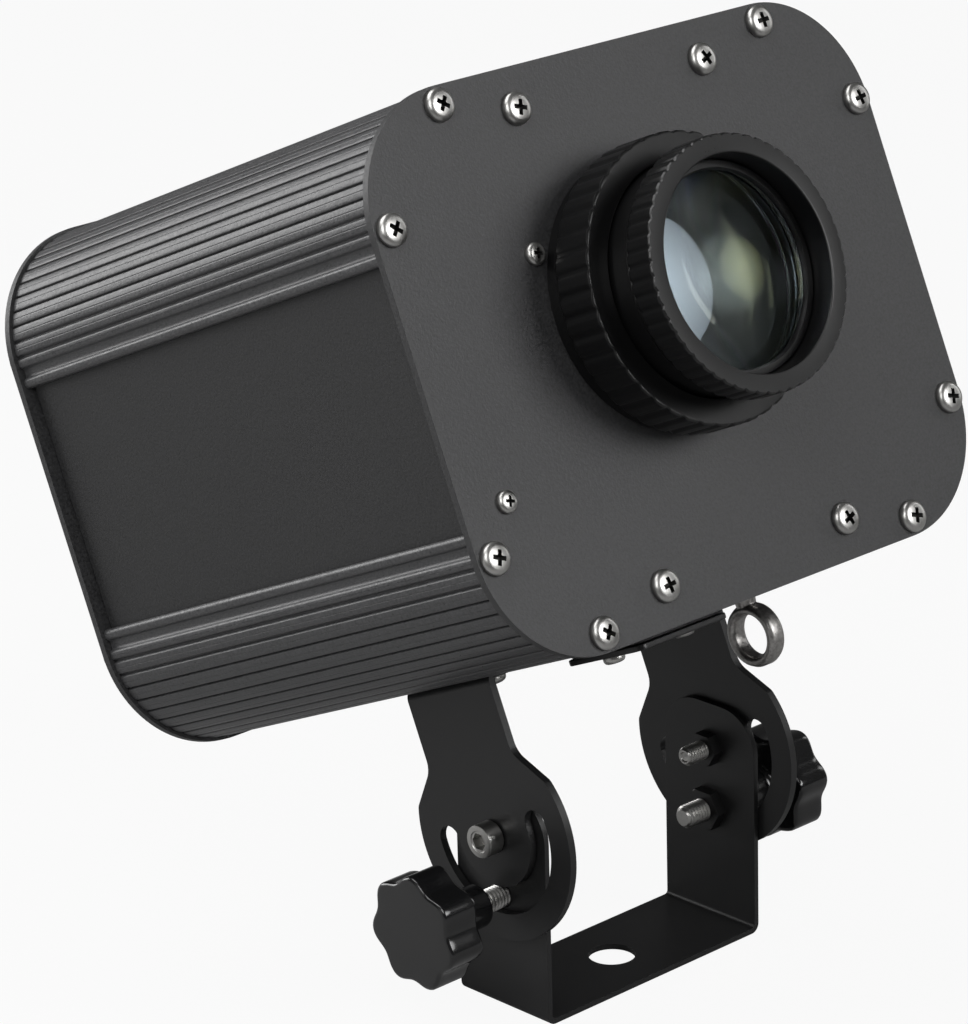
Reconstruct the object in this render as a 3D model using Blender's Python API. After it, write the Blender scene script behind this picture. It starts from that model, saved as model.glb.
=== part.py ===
"""Color changer spotlight: a projector lamp in a ribbed aluminium housing on a tilting yoke.

The base of the yoke lies on z = 0 with its bolt hole at the origin. The lamp looks along -Y and is
tilted up, as it is used. Metres, +Z up.
"""
import math

import bpy
import bmesh
from mathutils import Vector
from mathutils.geometry import delaunay_2d_cdt

# Clearance between pieces that touch
GAP = 0.0003

# Yoke: a U of sheet steel that carries the lamp
YOKE_SHEET = 0.0015
YOKE_HALF_WIDTH = 0.0377
YOKE_ARM_WIDTH = 0.031
YOKE_BEND = 0.0025
YOKE_CORNER = 0.011
PIVOT_HEIGHT = 0.047
ARM_ABOVE_PIVOT = 0.012
CLAMP_BELOW_PIVOT = 0.0165
BASE_HOLE_RADIUS = 0.006
TILT = math.radians(23.5)

# Hanger: an inverted U of sheet steel under the housing, with a disc round the pivot on each ear
HANGER_SHEET = 0.002
HANGER_HALF_WIDTH = 0.040
HANGER_STRIP_WIDTH = 0.032
HANGER_DISC_RADIUS = 0.0267
HANGER_WAIST = 0.0189
HANGER_FLARE = 0.0083
HANGER_BEND = 0.003
SLOT_RADIUS = 0.0165
SLOT_WIDTH = 0.007
SLOT_RISE = math.radians(3.7)
HANGER_SCREW_PLACE = 0.026

# Pivot screws, M5, and clamp studs, M6
PIVOT_SCREW_RADIUS = 0.0025
PIVOT_SOCKET_RADIUS = 0.0023
PIVOT_SOCKET_DEPTH = 0.0027
SCREW_CHAMFER = 0.0006
PIVOT_HEAD_RADIUS = 0.00425
PIVOT_HEAD_LENGTH = 0.005
PIVOT_TIP = 0.027
STUD_RADIUS = 0.003
STUD_LENGTH = 0.017
NUT_LENGTH = 0.003
PIVOT_NUT_FLATS = 0.008
CLAMP_NUT_FLATS = 0.010

# Clamp knobs; each neck end is where the photographed lamp has it
KNOB_RADIUS = 0.0137
KNOB_LOBE = 0.0009
KNOB_LOBES = 7
KNOB_NECK_RADIUS = 0.0055
KNOB_NECK_LENGTH = 0.0118
KNOB_LENGTH = 0.0225
KNOB_CHAMFER = 0.0014
STUD_IN_KNOB = 0.014
LEFT_NECK_END = 0.0455
RIGHT_NECK_END = 0.0432

# Housing: two ribbed extrusions, two side panels and two end plates
HOUSING_WIDTH = 0.165
HOUSING_HEIGHT = 0.135
HOUSING_CORNER = 0.030
HOUSING_LENGTH = 0.1495
PIVOT_BEHIND_FACE = 0.076
PIVOT_BELOW_AXIS = 0.1065
PLATE = 0.002
SHELL_INSET = 0.0008
SHELL_WALL = 0.0027
RIB_PITCH = 0.004
RIB_DEPTH = 0.0009
LIP_HEIGHT = 0.0314
LIP_ROUND = 0.0015
LIP_TOP = 0.0028
RIBS_ABOVE_LIP = 0.0042
GROOVE_FROM_OUTSIDE = 0.0017
GROOVE_INNER_WALL = 0.0015
CHANNEL_RADIUS = 0.0036
PANEL_SHEET = 0.0014
PANEL_EDGE = 0.003

# Under the housing: service cover and safety eye, each placed across and behind the front face
COVER_CENTRE = (-0.0062, 0.0387)
COVER_SIZE = (0.031, 0.0277)
COVER_SCREW_RADIUS = 0.0015
COVER_SCREW_INSET = 0.0035
COVER_OPENING_SMALLER = (0.013, 0.008)
COVER_CORNER = 0.0025
COVER_SHEET = 0.0015
GASKET = 0.0035
GASKET_INSET = 0.0006
EYE_PLACE = (0.024, 0.034)
EYE_STEM = 0.0025
EYE_DROP = 0.0795
EYE_RADIUS = 0.0080
EYE_HOLE = 0.0053
EYE_HALF_WIDTH = 0.0025
EYE_COLLAR_RADIUS = 0.0048
EYE_COLLAR_LENGTH = 0.0022
EYE_STEM_LENGTH = 0.008

# Cable gland on the rear plate
GLAND_PLACE = (-0.045, -0.036)
GLAND_THREAD = 0.0076
GLAND_THREAD_LENGTH = 0.012
GLAND_BORE = 0.004
GLAND_FLANGE = 0.0108
GLAND_FLANGE_LENGTH = 0.005
GLAND_SPIGOT = 0.0070
GLAND_CAP = 0.0104
GLAND_CAP_LENGTH = 0.0135
GLAND_CAP_SHOULDER = 0.009
GLAND_STEPS = 16

# Screws of the end plates: the outer eight run in the shells' channels, the inner four hold pillars
CHANNEL_SCREWS = ((0.0532, 0.06285), (0.0777, 0.0385))
PILLAR_SCREW = (0.0310, 0.0576)
PLATE_SCREW_RADIUS = 0.002
PLATE_SCREW_LENGTH = 0.010
PLATE_SCREW_HEAD = 0.004
PLATE_SCREW_HEAD_HEIGHT = 0.0026
WASHER_SHEET = 0.0005
SCREW_STEPS = 8

# Lens: collar on the plate, knurled lock ring and the focusing barrel with its glass
LENS_AXIS = (-0.0062, 0.0077)
MOUNT_BORE = 0.0283
MOUNT_RADIUS = 0.031
MOUNT_FLANGE = 0.033
MOUNT_FLANGE_FRONT = 0.0050
MOUNT_REAR = -0.0056
MOUNT_FRONT = 0.0157
LOCK_RING_RADIUS = 0.0351
LOCK_RING_REAR = 0.0054
LOCK_RING_FRONT = 0.0171
LOCK_RING_LIP = 0.0010
LOCK_RING_CHAMFER = 0.0006
BARREL_RADIUS = 0.028
BARREL_BORE = 0.026
BARREL_REAR = 0.0040
GLASS_SHOULDER = 0.0145
GLASS_SHOULDER_DEPTH = 0.002
FOCUS_RING_RADIUS = 0.0306
FOCUS_RING_REAR = 0.0255
FOCUS_RING_FRONT = 0.0334
FRONT_LENS_REAR = 0.0148
FRONT_LENS_EDGE = 0.0246
FRONT_LENS_CURVE = 0.110
REAR_LENS_REAR = 0.0050
REAR_LENS_EDGE = 0.0095
REAR_LENS_CURVE = 0.090
RETAINER_BORE = 0.0235
RETAINER_FRONT = 0.0270
LENS_STEPS = 28

# Gear motor: its two screws show in the front plate, its shaft is off its centre
MOTOR_SCREWS = ((-0.0389, 0.0243), (-0.0694, -0.0273))
MOTOR_SCREW_RADIUS = 0.0015
MOTOR_SCREW_HEAD = 0.00275
MOTOR_SCREW_HEAD_HEIGHT = 0.0019
MOTOR_SCREW_LENGTH = 0.012
MOTOR_EAR_RADIUS = 0.0045
MOTOR_EAR_SHEET = 0.0012
MOTOR_SPACER_RADIUS = 0.0033
MOTOR_SHAFT_RADIUS = 0.0025
MOTOR_RADIUS = 0.0235
MOTOR_SHAFT_OFFSET = 0.010
MOTOR_FRONT = 0.008
MOTOR_REAR = 0.024

# Colour wheel: a toothed disc with six filters and one open place
WHEEL_CENTRE = (0.010, -0.013)
WHEEL_DEPTH = 0.031
WHEEL_SHEET = 0.0015
WHEEL_TEETH = 48
PINION_TEETH = 16
PINION_FRONT = 0.0285
PINION_REAR = 0.0335
TOOTH_TIP = 0.92
TOOTH_ROOT = 1.15
SPINDLE_RADIUS = 0.0025
SPINDLE_HEAD = 0.0034
HUB_RADIUS = 0.0050
HUB_FLANGE = 0.0080
WHEEL_PLACES = 7
FILTER_RADIUS = 0.0106
FILTER_SEAT = 0.0011
FILTER_GLASS = 0.0011
FILTERS = (("red", (0.80, 0.03, 0.02)), ("amber", (0.90, 0.40, 0.03)), ("green", (0.05, 0.60, 0.10)),
           ("cyan", (0.05, 0.60, 0.75)), ("blue", (0.03, 0.08, 0.75)), ("magenta", (0.75, 0.05, 0.50)))

# Optics behind the wheel, measured back from the front plate's face
FRAME_DEPTH = 0.038
FRAME_SHEET = 0.0015
FRAME_OPENING = 0.0133
FRAME_PILLAR = 0.0035
SINK_PILLAR = 0.003
GATE_OPENING = 0.0090
GATE_RADIUS = 0.0130
CONDENSER_RADIUS = 0.0147
CONDENSER_CURVE = 0.024
HOLDER_LENGTH = 0.0155
HOLDER_OPENING = 0.0125
HOLDER_FLANGE = 0.0200
HOLDER_RADIUS = 0.0170
LED_BOARD_WIDTH = 0.030
LED_RADIUS = 0.0085
HEAT_SINK_DEPTH = 0.060
HEAT_SINK_PILLAR = 0.026
FIN_COUNT = 11
FIN_DEPTH = 0.030
SINK_HALF_WIDTH = 0.032
SINK_BASE = 0.005

# Electronics: the driver box's width, height, front and rear, and the control board on its pillars
DRIVER_BOX = (0.088, 0.026, 0.097, 0.132)
BOARD_SIZE = (0.072, 0.124)
BOARD_SHEET = 0.0016
BOARD_PILLAR_LENGTH = 0.010

# Transformer, relay and processor on the control board: corners, then height
BOARD_COMPONENTS = ((-0.022, 0.010, 0.0, 0.034, 0.013), (0.008, 0.012, 0.020, 0.030, 0.010),
                    (-0.018, -0.016, 0.014, -0.002, 0.004))

# Seen from the front, from the lamp's right side or from its left side
FRONT = (math.pi / 2, 0, 0)
SIDE = (math.pi / 2, 0, math.pi / 2)
OTHER_SIDE = (math.pi / 2, 0, -math.pi / 2)


def clear_scene():
    for thing in list(bpy.data.objects):
        bpy.data.objects.remove(thing, do_unlink=True)


def finish(name, color, roughness, metallic=0.0, alpha=1.0):
    """A plain Principled material."""
    material = bpy.data.materials.new(name)
    material.use_nodes = True
    shader = material.node_tree.nodes["Principled BSDF"]
    shader.inputs["Base Color"].default_value = (*color, 1.0)
    shader.inputs["Roughness"].default_value = roughness
    shader.inputs["Metallic"].default_value = metallic
    shader.inputs["Alpha"].default_value = alpha
    return material


def empty(name, parent=None, location=(0, 0, 0), rotation=(0, 0, 0)):
    place = bpy.data.objects.new(name, None)
    bpy.context.collection.objects.link(place)
    place.parent = parent
    place.location = location
    place.rotation_euler = rotation
    return place


def piece(name, bm, material=None, parent=None, location=(0, 0, 0), rotation=(0, 0, 0), smooth=35):
    """An object from a finished bmesh, smooth shaded up to the given edge angle."""
    bmesh.ops.recalc_face_normals(bm, faces=bm.faces[:])
    mesh = bpy.data.meshes.new(name)
    bm.to_mesh(mesh)
    bm.free()
    thing = bpy.data.objects.new(name, mesh)
    bpy.context.collection.objects.link(thing)
    if material:
        mesh.materials.append(material)
    if smooth:
        mesh.shade_smooth()
        mesh.set_sharp_from_angle(angle=math.radians(smooth))
    thing.parent = parent
    thing.location = location
    thing.rotation_euler = rotation
    return thing


def carve(thing, tool, operation="DIFFERENCE"):
    """A live Boolean; its tool stays in the scene as a hidden wire guide."""
    tool.hide_render = True
    tool.display_type = "WIRE"
    modifier = thing.modifiers.new(tool.name, "BOOLEAN")
    modifier.operation = operation
    modifier.solver = "EXACT"
    modifier.object = tool


def arc(cx, cy, radius, start, end, steps):
    """Points along an arc, angles in degrees, both ends included."""
    points = []
    for i in range(steps + 1):
        angle = math.radians(start + (end - start) * i / steps)
        points.append((cx + radius * math.cos(angle), cy + radius * math.sin(angle)))
    return points


def circle(cx, cy, radius, steps):
    return arc(cx, cy, radius, 0, 360, steps)[:-1]


def rounded_rectangle(width, height, radius, steps=8, cx=0.0, cy=0.0):
    x = width / 2 - radius
    y = height / 2 - radius
    outline = arc(cx + x, cy + y, radius, 0, 90, steps)
    outline += arc(cx - x, cy + y, radius, 90, 180, steps)
    outline += arc(cx - x, cy - y, radius, 180, 270, steps)
    outline += arc(cx + x, cy - y, radius, 270, 360, steps)
    return outline


def rectangle(x0, y0, x1, y1):
    return [(x0, y0), (x1, y0), (x1, y1), (x0, y1)]


def inside(x, y, loop):
    """True where a point lies within a closed loop: an odd number of its edges is to the right."""
    odd = False
    for (x0, y0), (x1, y1) in zip(loop, loop[1:] + loop[:1]):
        if (y0 > y) != (y1 > y) and x < x0 + (y - y0) / (y1 - y0) * (x1 - x0):
            odd = not odd
    return odd


def add_prism(bm, outline, holes, z0, z1):
    """Fill an outline with holes at z0 and extrude it to z1."""
    points = []
    edges = []
    for loop in [outline, *holes]:
        first = len(points)
        points += [Vector(p) for p in loop]
        edges += [(first + i, first + (i + 1) % len(loop)) for i in range(len(loop))]
    corners, _, triangles, *_ = delaunay_2d_cdt(points, edges, [], 0, 1e-8)
    verts = [bm.verts.new((p.x, p.y, z0)) for p in corners]
    faces = []
    for triangle in triangles:
        x = sum(corners[i].x for i in triangle) / 3
        y = sum(corners[i].y for i in triangle) / 3
        if inside(x, y, outline) and not any(inside(x, y, hole) for hole in holes):
            faces.append(bm.faces.new([verts[i] for i in triangle]))
    grown = bmesh.ops.extrude_face_region(bm, geom=faces, use_keep_orig=True)
    moved = [item for item in grown["geom"] if isinstance(item, bmesh.types.BMVert)]
    bmesh.ops.translate(bm, verts=moved, vec=(0, 0, z1 - z0))


def prism(outline, z0, z1, holes=()):
    bm = bmesh.new()
    add_prism(bm, outline, holes, z0, z1)
    return bm


def turned(profile, steps):
    """Spin a closed (radius, z) profile round the local z axis."""
    bm = bmesh.new()
    verts = [bm.verts.new((r, 0, z)) for r, z in profile]
    count = len(verts)
    edges = []
    for i in range(count):
        if profile[i][0] > 0 or profile[(i + 1) % count][0] > 0:
            edges.append(bm.edges.new((verts[i], verts[(i + 1) % count])))
    bmesh.ops.spin(bm, geom=verts + edges, cent=(0, 0, 0), axis=(0, 0, 1), angle=2 * math.pi, steps=steps,
                   use_merge=True)
    bmesh.ops.remove_doubles(bm, verts=bm.verts[:], dist=1e-7)
    return bm


def press_lobes(bm, beyond, waves, depth):
    """Wave the vertices further out than a radius into a knob's lobes."""
    for vert in bm.verts:
        radius = math.hypot(vert.co.x, vert.co.y)
        if radius > beyond:
            swing = math.cos(waves * math.atan2(vert.co.y, vert.co.x))
            factor = (radius + depth * swing) / radius
            vert.co.x *= factor
            vert.co.y *= factor


def hexagon(flats, turn=30):
    across = flats / math.sqrt(3)
    return [(across * math.cos(math.radians(turn + 60 * i)), across * math.sin(math.radians(turn + 60 * i)))
            for i in range(6)]


def pan_screw_profile(head, height, shank, length):
    """Half section of a pan-head screw whose head rests on z = 0."""
    return [(0, height), (head * 0.65, height * 0.92), (head, height * 0.4), (head, GAP), (shank, GAP),
            (shank, -length), (0, -length)]


def pan_screw(name, material, parent, x, y, head, height, shank, length):
    """A pan-head screw at (x, y) with its head on the plane z = 0."""
    thing = piece(name, turned(pan_screw_profile(head, height, shank, length), SCREW_STEPS), material, parent)
    thing.location = (x, y, 0)
    return thing


def four_ways(point):
    x, y = point
    return [(x, y), (-x, y), (-x, -y), (x, -y)]


# Yoke


def yoke(steel):
    """U sheet: its section is drawn from the front, its arms' outline from the side."""
    w = YOKE_HALF_WIDTH
    s = YOKE_SHEET
    b = YOKE_BEND
    top = PIVOT_HEIGHT + ARM_ABOVE_PIVOT
    section = [(-w, top)] + arc(-w + b, b, b, 180, 270, 4) + arc(w - b, b, b, 270, 360, 4) + [(w, top)]
    section += [(w - s, top)] + arc(w - b, b, b - s, 360, 270, 3) + arc(-w + b, b, b - s, 270, 180, 3)
    section += [(-w + s, top)]
    half = YOKE_ARM_WIDTH / 2
    sheet = piece("yoke", prism(section, -half, half), steel, rotation=FRONT)

    c = YOKE_CORNER
    outline = [(-half - c, -c), (half + c, -c), (half + c, top / 2), (half, top / 2)]
    outline += arc(half - c, top - c, c, 0, 90, 6) + arc(-half + c, top - c, c, 90, 180, 6)
    outline += [(-half, top / 2), (-half - c, top / 2)]
    arms = piece("yoke_arm_outline", prism(outline, -2 * w, 2 * w), rotation=SIDE)
    carve(sheet, arms, "INTERSECT")

    clamp_height = PIVOT_HEIGHT - CLAMP_BELOW_PIVOT
    nuts = bmesh.new()
    for height, flats in ((PIVOT_HEIGHT, PIVOT_NUT_FLATS), (clamp_height, CLAMP_NUT_FLATS)):
        shape = [(y, z + height) for y, z in hexagon(flats)]
        for side in (1, -1):
            add_prism(nuts, shape, [], side * (w - s - NUT_LENGTH), side * (w - s / 2))
    carve(sheet, piece("yoke_welded_nuts", nuts, rotation=SIDE), "UNION")

    drills = bmesh.new()
    for height, radius in ((PIVOT_HEIGHT, PIVOT_SCREW_RADIUS), (clamp_height, STUD_RADIUS)):
        for side in (1, -1):
            near = side * (w - s - 2 * NUT_LENGTH)
            add_prism(drills, circle(0, height, radius + GAP, 12), [], near, side * (w + s))
    carve(sheet, piece("yoke_side_drills", drills, rotation=SIDE))
    carve(sheet, piece("yoke_base_drill", prism(circle(0, 0, BASE_HOLE_RADIUS, 24), -c, c)))
    return sheet


def pivot_screws(nickel):
    """Socket-head cap screws that hold the ears to the arms."""
    seat = HANGER_HALF_WIDTH + GAP
    face = HANGER_HALF_WIDTH + PIVOT_HEAD_LENGTH
    r = PIVOT_SCREW_RADIUS
    h = PIVOT_HEAD_RADIUS
    c = SCREW_CHAMFER
    socket = PIVOT_SOCKET_RADIUS
    bottom = face - PIVOT_SOCKET_DEPTH
    profile = [(0, PIVOT_TIP), (r - c, PIVOT_TIP), (r, PIVOT_TIP + c), (r, seat), (h, seat), (h, face - c),
               (h - c, face), (socket, face), (socket, bottom), (0, bottom)]
    for name, turn in (("left_pivot_screw", OTHER_SIDE), ("right_pivot_screw", SIDE)):
        piece(name, turned(profile, 12), nickel, location=(0, 0, PIVOT_HEIGHT), rotation=turn)


def clamp(side, neck_end, plastic, nickel):
    """A lobed knob and its threaded stud, on an axis under the pivot."""
    height = PIVOT_HEIGHT - CLAMP_BELOW_PIVOT
    turn = SIDE if side == "right" else OTHER_SIDE
    sign = 1 if side == "right" else -1
    axis = empty(side + "_clamp_axis", None, (sign * neck_end, 0, height), turn)
    n = KNOB_NECK_RADIUS
    r = KNOB_RADIUS
    head = KNOB_NECK_LENGTH
    end = KNOB_LENGTH
    c = KNOB_CHAMFER
    bore = STUD_RADIUS + GAP
    depth = STUD_IN_KNOB
    profile = [(bore, 0), (n, 0), (n, head - 2 * c), (n + 2 * c, head), (r - c, head), (r, head + c),
               (r, end - c), (r - c, end), (0, end), (0, depth), (bore, depth)]
    bm = turned(profile, KNOB_LOBES * 4)
    press_lobes(bm, r - 1.3 * c, KNOB_LOBES, KNOB_LOBE)
    piece(side + "_knob", bm, plastic, axis, smooth=50)
    tip = -STUD_LENGTH
    s = STUD_RADIUS
    stud = [(0, depth - GAP), (s, depth - GAP), (s, tip + SCREW_CHAMFER), (s - SCREW_CHAMFER, tip), (0, tip)]
    piece(side + "_stud", turned(stud, 12), nickel, axis)


# Hanger


def hanger(pivot, steel):
    """Inverted U sheet: section from the front, outline of the ears from the side, arc slots."""
    w = HANGER_HALF_WIDTH
    s = HANGER_SHEET
    b = HANGER_BEND
    top = PIVOT_BELOW_AXIS - HOUSING_HEIGHT / 2 + SHELL_INSET - GAP
    low = -2 * HANGER_DISC_RADIUS
    section = [(w, low)] + arc(w - b, top - b, b, 0, 90, 4) + arc(-w + b, top - b, b, 90, 180, 4)
    section += [(-w, low), (-w + s, low)] + arc(-w + b, top - b, b - s, 180, 90, 3)
    section += arc(w - b, top - b, b - s, 90, 0, 3) + [(w - s, low)]
    reach = HANGER_DISC_RADIUS + b
    sheet = piece("hanger", prism(section, -reach, reach), steel, pivot, rotation=FRONT)

    half = HANGER_STRIP_WIDTH / 2
    flare_y = half + HANGER_FLARE
    flare_z = math.sqrt(HANGER_DISC_RADIUS ** 2 - flare_y ** 2)
    start = math.degrees(math.atan2(flare_z, -flare_y))
    outline = [(half, HANGER_WAIST), (half, top + b), (-half, top + b), (-half, HANGER_WAIST)]
    outline += arc(0, 0, HANGER_DISC_RADIUS, start, 540 - start, 24)
    rise = math.degrees(SLOT_RISE)
    slot = slot_outline(SLOT_RADIUS, SLOT_WIDTH, 180 - rise, 360 + rise)
    holes = [slot, circle(0, 0, PIVOT_SCREW_RADIUS + GAP, 12)]
    ears = piece("hanger_ear_outline", prism(outline, -2 * w, 2 * w, holes), None, pivot, rotation=SIDE)
    carve(sheet, ears, "INTERSECT")
    bm = bmesh.new()
    for x in (-HANGER_SCREW_PLACE, HANGER_SCREW_PLACE):
        add_prism(bm, circle(x, 0, PLATE_SCREW_RADIUS + GAP, 12), [], top - 2 * s, top + s)
    drill = piece("hanger_drill", bm, None, pivot)
    carve(sheet, drill)
    return sheet


def hanger_screws(pivot, nickel):
    """Two pan-head screws with washers that hold the web of the hanger under the housing."""
    under = PIVOT_BELOW_AXIS - HOUSING_HEIGHT / 2 + SHELL_INSET - HANGER_SHEET - 2 * GAP
    r = PLATE_SCREW_RADIUS
    h = PLATE_SCREW_HEAD
    washer = WASHER_SHEET
    head = under - washer - PLATE_SCREW_HEAD_HEIGHT
    top = under + PLATE_SCREW_LENGTH
    profile = [(0, top), (r, top), (r, under), (h + washer, under), (h + washer, under - washer),
               (h, under - washer), (h, head + 0.6 * PLATE_SCREW_HEAD_HEIGHT),
               (h * 0.65, head + 0.1 * PLATE_SCREW_HEAD_HEIGHT), (0, head)]
    for name, x in (("left_hanger_screw", -HANGER_SCREW_PLACE), ("right_hanger_screw", HANGER_SCREW_PLACE)):
        piece(name, turned(profile, 12), nickel, pivot, (x, 0, 0))


def slot_outline(radius, width, start, end):
    """An arc slot with round ends, angles in degrees."""
    half = width / 2
    a = math.radians(start)
    b = math.radians(end)
    outline = arc(0, 0, radius + half, start, end, 16)
    outline += arc(radius * math.cos(b), radius * math.sin(b), half, end, end + 180, 6)[1:-1]
    outline += arc(0, 0, radius - half, end, start, 14)
    outline += arc(radius * math.cos(a), radius * math.sin(a), half, start + 180, start + 360, 6)[1:-1]
    return outline


# Housing


def ribbed_outline(half_width, half_height, radius, low):
    """Right-hand half of a shell's outside: lip, ribbed side, ribbed corner and ribbed top."""
    straight = half_height - radius - low
    corner = radius * math.pi / 2
    flat = half_width - radius
    total = straight + corner + flat

    def along(s, depth):
        if s < straight:
            return (half_width - depth, low + s)
        if s < straight + corner:
            angle = (s - straight) / radius
            cx = half_width - radius
            cy = half_height - radius
            return (cx + (radius - depth) * math.cos(angle), cy + (radius - depth) * math.sin(angle))
        return (half_width - radius - (s - straight - corner), half_height - depth)

    count = round(total / RIB_PITCH)
    pitch = total / (count + 0.5)
    points = []
    for i in range(count + 1):
        for part, depth in ((0.0, 1.0), (0.25, 0.0), (0.75, 0.0)):
            s = (i + part) * pitch
            if s < total - 1e-6:
                points.append(along(s, depth * RIB_DEPTH))
    points.append((0.0, half_height))
    return points


def shell_section():
    """Section of one extrusion: ribbed outside, smooth inside, grooves for the side panels."""
    w = HOUSING_WIDTH / 2 - SHELL_INSET
    h = HOUSING_HEIGHT / 2 - SHELL_INSET
    r = HOUSING_CORNER - SHELL_INSET
    lip = LIP_HEIGHT
    top = lip + LIP_TOP
    outside = arc(w - LIP_ROUND, lip + LIP_ROUND, LIP_ROUND, 270, 360, 3)
    outside += [(w, top), (w - RIB_DEPTH, top + GAP)]
    outside += ribbed_outline(w, h, r, lip + RIBS_ABOVE_LIP)
    groove_out = w - GROOVE_FROM_OUTSIDE
    groove_in = groove_out - PANEL_SHEET - 2 * GAP
    wall = groove_in - GROOVE_INNER_WALL
    groove_top = lip + PANEL_EDGE + GAP
    inside = [(groove_out, lip), (groove_out, groove_top), (groove_in, groove_top), (groove_in, lip),
              (wall, lip), (wall, groove_top + GROOVE_INNER_WALL),
              (w - SHELL_WALL, groove_top + 2 * GROOVE_INNER_WALL)]
    inside += arc(w - r, h - r, r - SHELL_WALL, 0, 90, 6)
    half = list(reversed(inside)) + outside
    mirrored = [(-x, y) for x, y in reversed(half) if x > 1e-9]
    return half + mirrored


def shell(name, parent, metal, turn):
    """A ribbed extrusion with its four screw channels; turn lays it below as the bottom shell."""
    front = -PLATE - GAP
    rear = -HOUSING_LENGTH + PLATE + GAP
    thing = piece(name, prism(shell_section(), rear, front), metal, parent, rotation=(0, 0, turn))
    channels = bmesh.new()
    bores = bmesh.new()
    for x, y in CHANNEL_SCREWS:
        for side in (x, -x):
            add_prism(channels, circle(side, y, CHANNEL_RADIUS, 8), [], rear, front)
            add_prism(bores, circle(side, y, PLATE_SCREW_RADIUS + GAP, 8), [], rear - PLATE, front + PLATE)
    guide = piece(name + "_channels", channels, None, parent, rotation=(0, 0, turn))
    carve(thing, guide, "UNION")
    drill = piece(name + "_bores", bores, None, parent, rotation=(0, 0, turn))
    carve(thing, drill)
    return thing


def bottom_openings(parent, bottom):
    """Cut the bottom shell for the hanger's screws, the service opening, its screws and the eye."""
    high = -HOUSING_HEIGHT / 2 + 3 * SHELL_WALL
    low = -HOUSING_HEIGHT / 2 - SHELL_WALL
    bm = bmesh.new()
    for x in (-HANGER_SCREW_PLACE, HANGER_SCREW_PLACE):
        add_prism(bm, circle(x, PIVOT_BEHIND_FACE, PLATE_SCREW_RADIUS + GAP, 8), [], low, high)
    add_prism(bm, service_opening(), [], low, high)
    for x, z in cover_screw_places():
        add_prism(bm, circle(x, z, COVER_SCREW_RADIUS + GAP, 8), [], low, high)
    add_prism(bm, circle(*EYE_PLACE, EYE_STEM + GAP, 10), [], low, high)
    tool = piece("bottom_openings", bm, None, parent, rotation=(-math.pi / 2, 0, 0))
    carve(bottom, tool)


def cover_screw_places():
    cx, cz = COVER_CENTRE
    reach = COVER_SIZE[0] / 2 - COVER_SCREW_INSET
    return [(cx - reach, cz), (cx + reach, cz)]


def service_opening():
    width, depth = COVER_SIZE
    less_width, less_depth = COVER_OPENING_SMALLER
    return rounded_rectangle(width - less_width, depth - less_depth, COVER_CORNER, 3, *COVER_CENTRE)


def service_cover(parent, steel, rubber):
    """Small plate on a gasket under the housing, held by two screws: the way in to the wheel."""
    cx, cz = COVER_CENTRE
    width, depth = COVER_SIZE
    under = HOUSING_HEIGHT / 2 - SHELL_INSET + GAP
    inset = GASKET_INSET
    down = (-math.pi / 2, 0, 0)
    screw_holes = [circle(x, z, COVER_SCREW_RADIUS + GAP, 8) for x, z in cover_screw_places()]
    ring = rounded_rectangle(width - 2 * inset, depth - 2 * inset, COVER_CORNER - inset, 3, cx, cz)
    bm = prism(ring, -under - GASKET, -under, [service_opening(), *screw_holes])
    piece("service_gasket", bm, rubber, parent, rotation=down)
    plate = rounded_rectangle(width, depth, COVER_CORNER, 3, cx, cz)
    top = under + GASKET + GAP
    piece("service_cover", prism(plate, -top - COVER_SHEET, -top, screw_holes), steel, parent, rotation=down)


def safety_eye(parent, steel):
    """Cast ring with a collar and a threaded stem, for the safety rope."""
    x, z = EYE_PLACE
    middle = (EYE_RADIUS + EYE_HOLE) / 2
    reach = (EYE_RADIUS - EYE_HOLE) / 2
    section = [(middle + reach * math.cos(a), EYE_HALF_WIDTH * math.sin(a))
               for a in (math.radians(60 * i + 30) for i in range(6))]
    across = (0, math.pi / 2, 0)
    ring = piece("safety_eye", turned(section, 24), steel, parent, (x, -EYE_DROP, -z), across, 60)
    seat = -(HOUSING_HEIGHT / 2 - SHELL_INSET + GAP)
    top = seat + EYE_STEM_LENGTH
    collar = seat - EYE_COLLAR_LENGTH
    end = -EYE_DROP + EYE_RADIUS - reach
    stem = [(0, top), (EYE_STEM, top), (EYE_STEM, seat), (EYE_COLLAR_RADIUS, seat),
            (EYE_COLLAR_RADIUS, collar), (EYE_HALF_WIDTH, 2 * collar - seat), (EYE_HALF_WIDTH, end), (0, end)]
    neck = piece("safety_eye_stem", turned(stem, 12), None, parent, (x, 0, -z), (-math.pi / 2, 0, 0))
    carve(ring, neck, "UNION")
    return ring


def side_panel(name, parent, steel, sign):
    """Flat sheet whose long edges run in the grooves of both shells."""
    outer = HOUSING_WIDTH / 2 - SHELL_INSET - GROOVE_FROM_OUTSIDE - GAP
    inner = outer - PANEL_SHEET
    high = LIP_HEIGHT + PANEL_EDGE - GAP
    section = rectangle(sign * inner, -high, sign * outer, high)
    return piece(name, prism(section, -HOUSING_LENGTH + PLATE + 4 * GAP, -PLATE - GAP), steel, parent)


def screw_places():
    places = []
    for point in CHANNEL_SCREWS:
        places += four_ways(point)
    return places + four_ways(PILLAR_SCREW)


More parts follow.
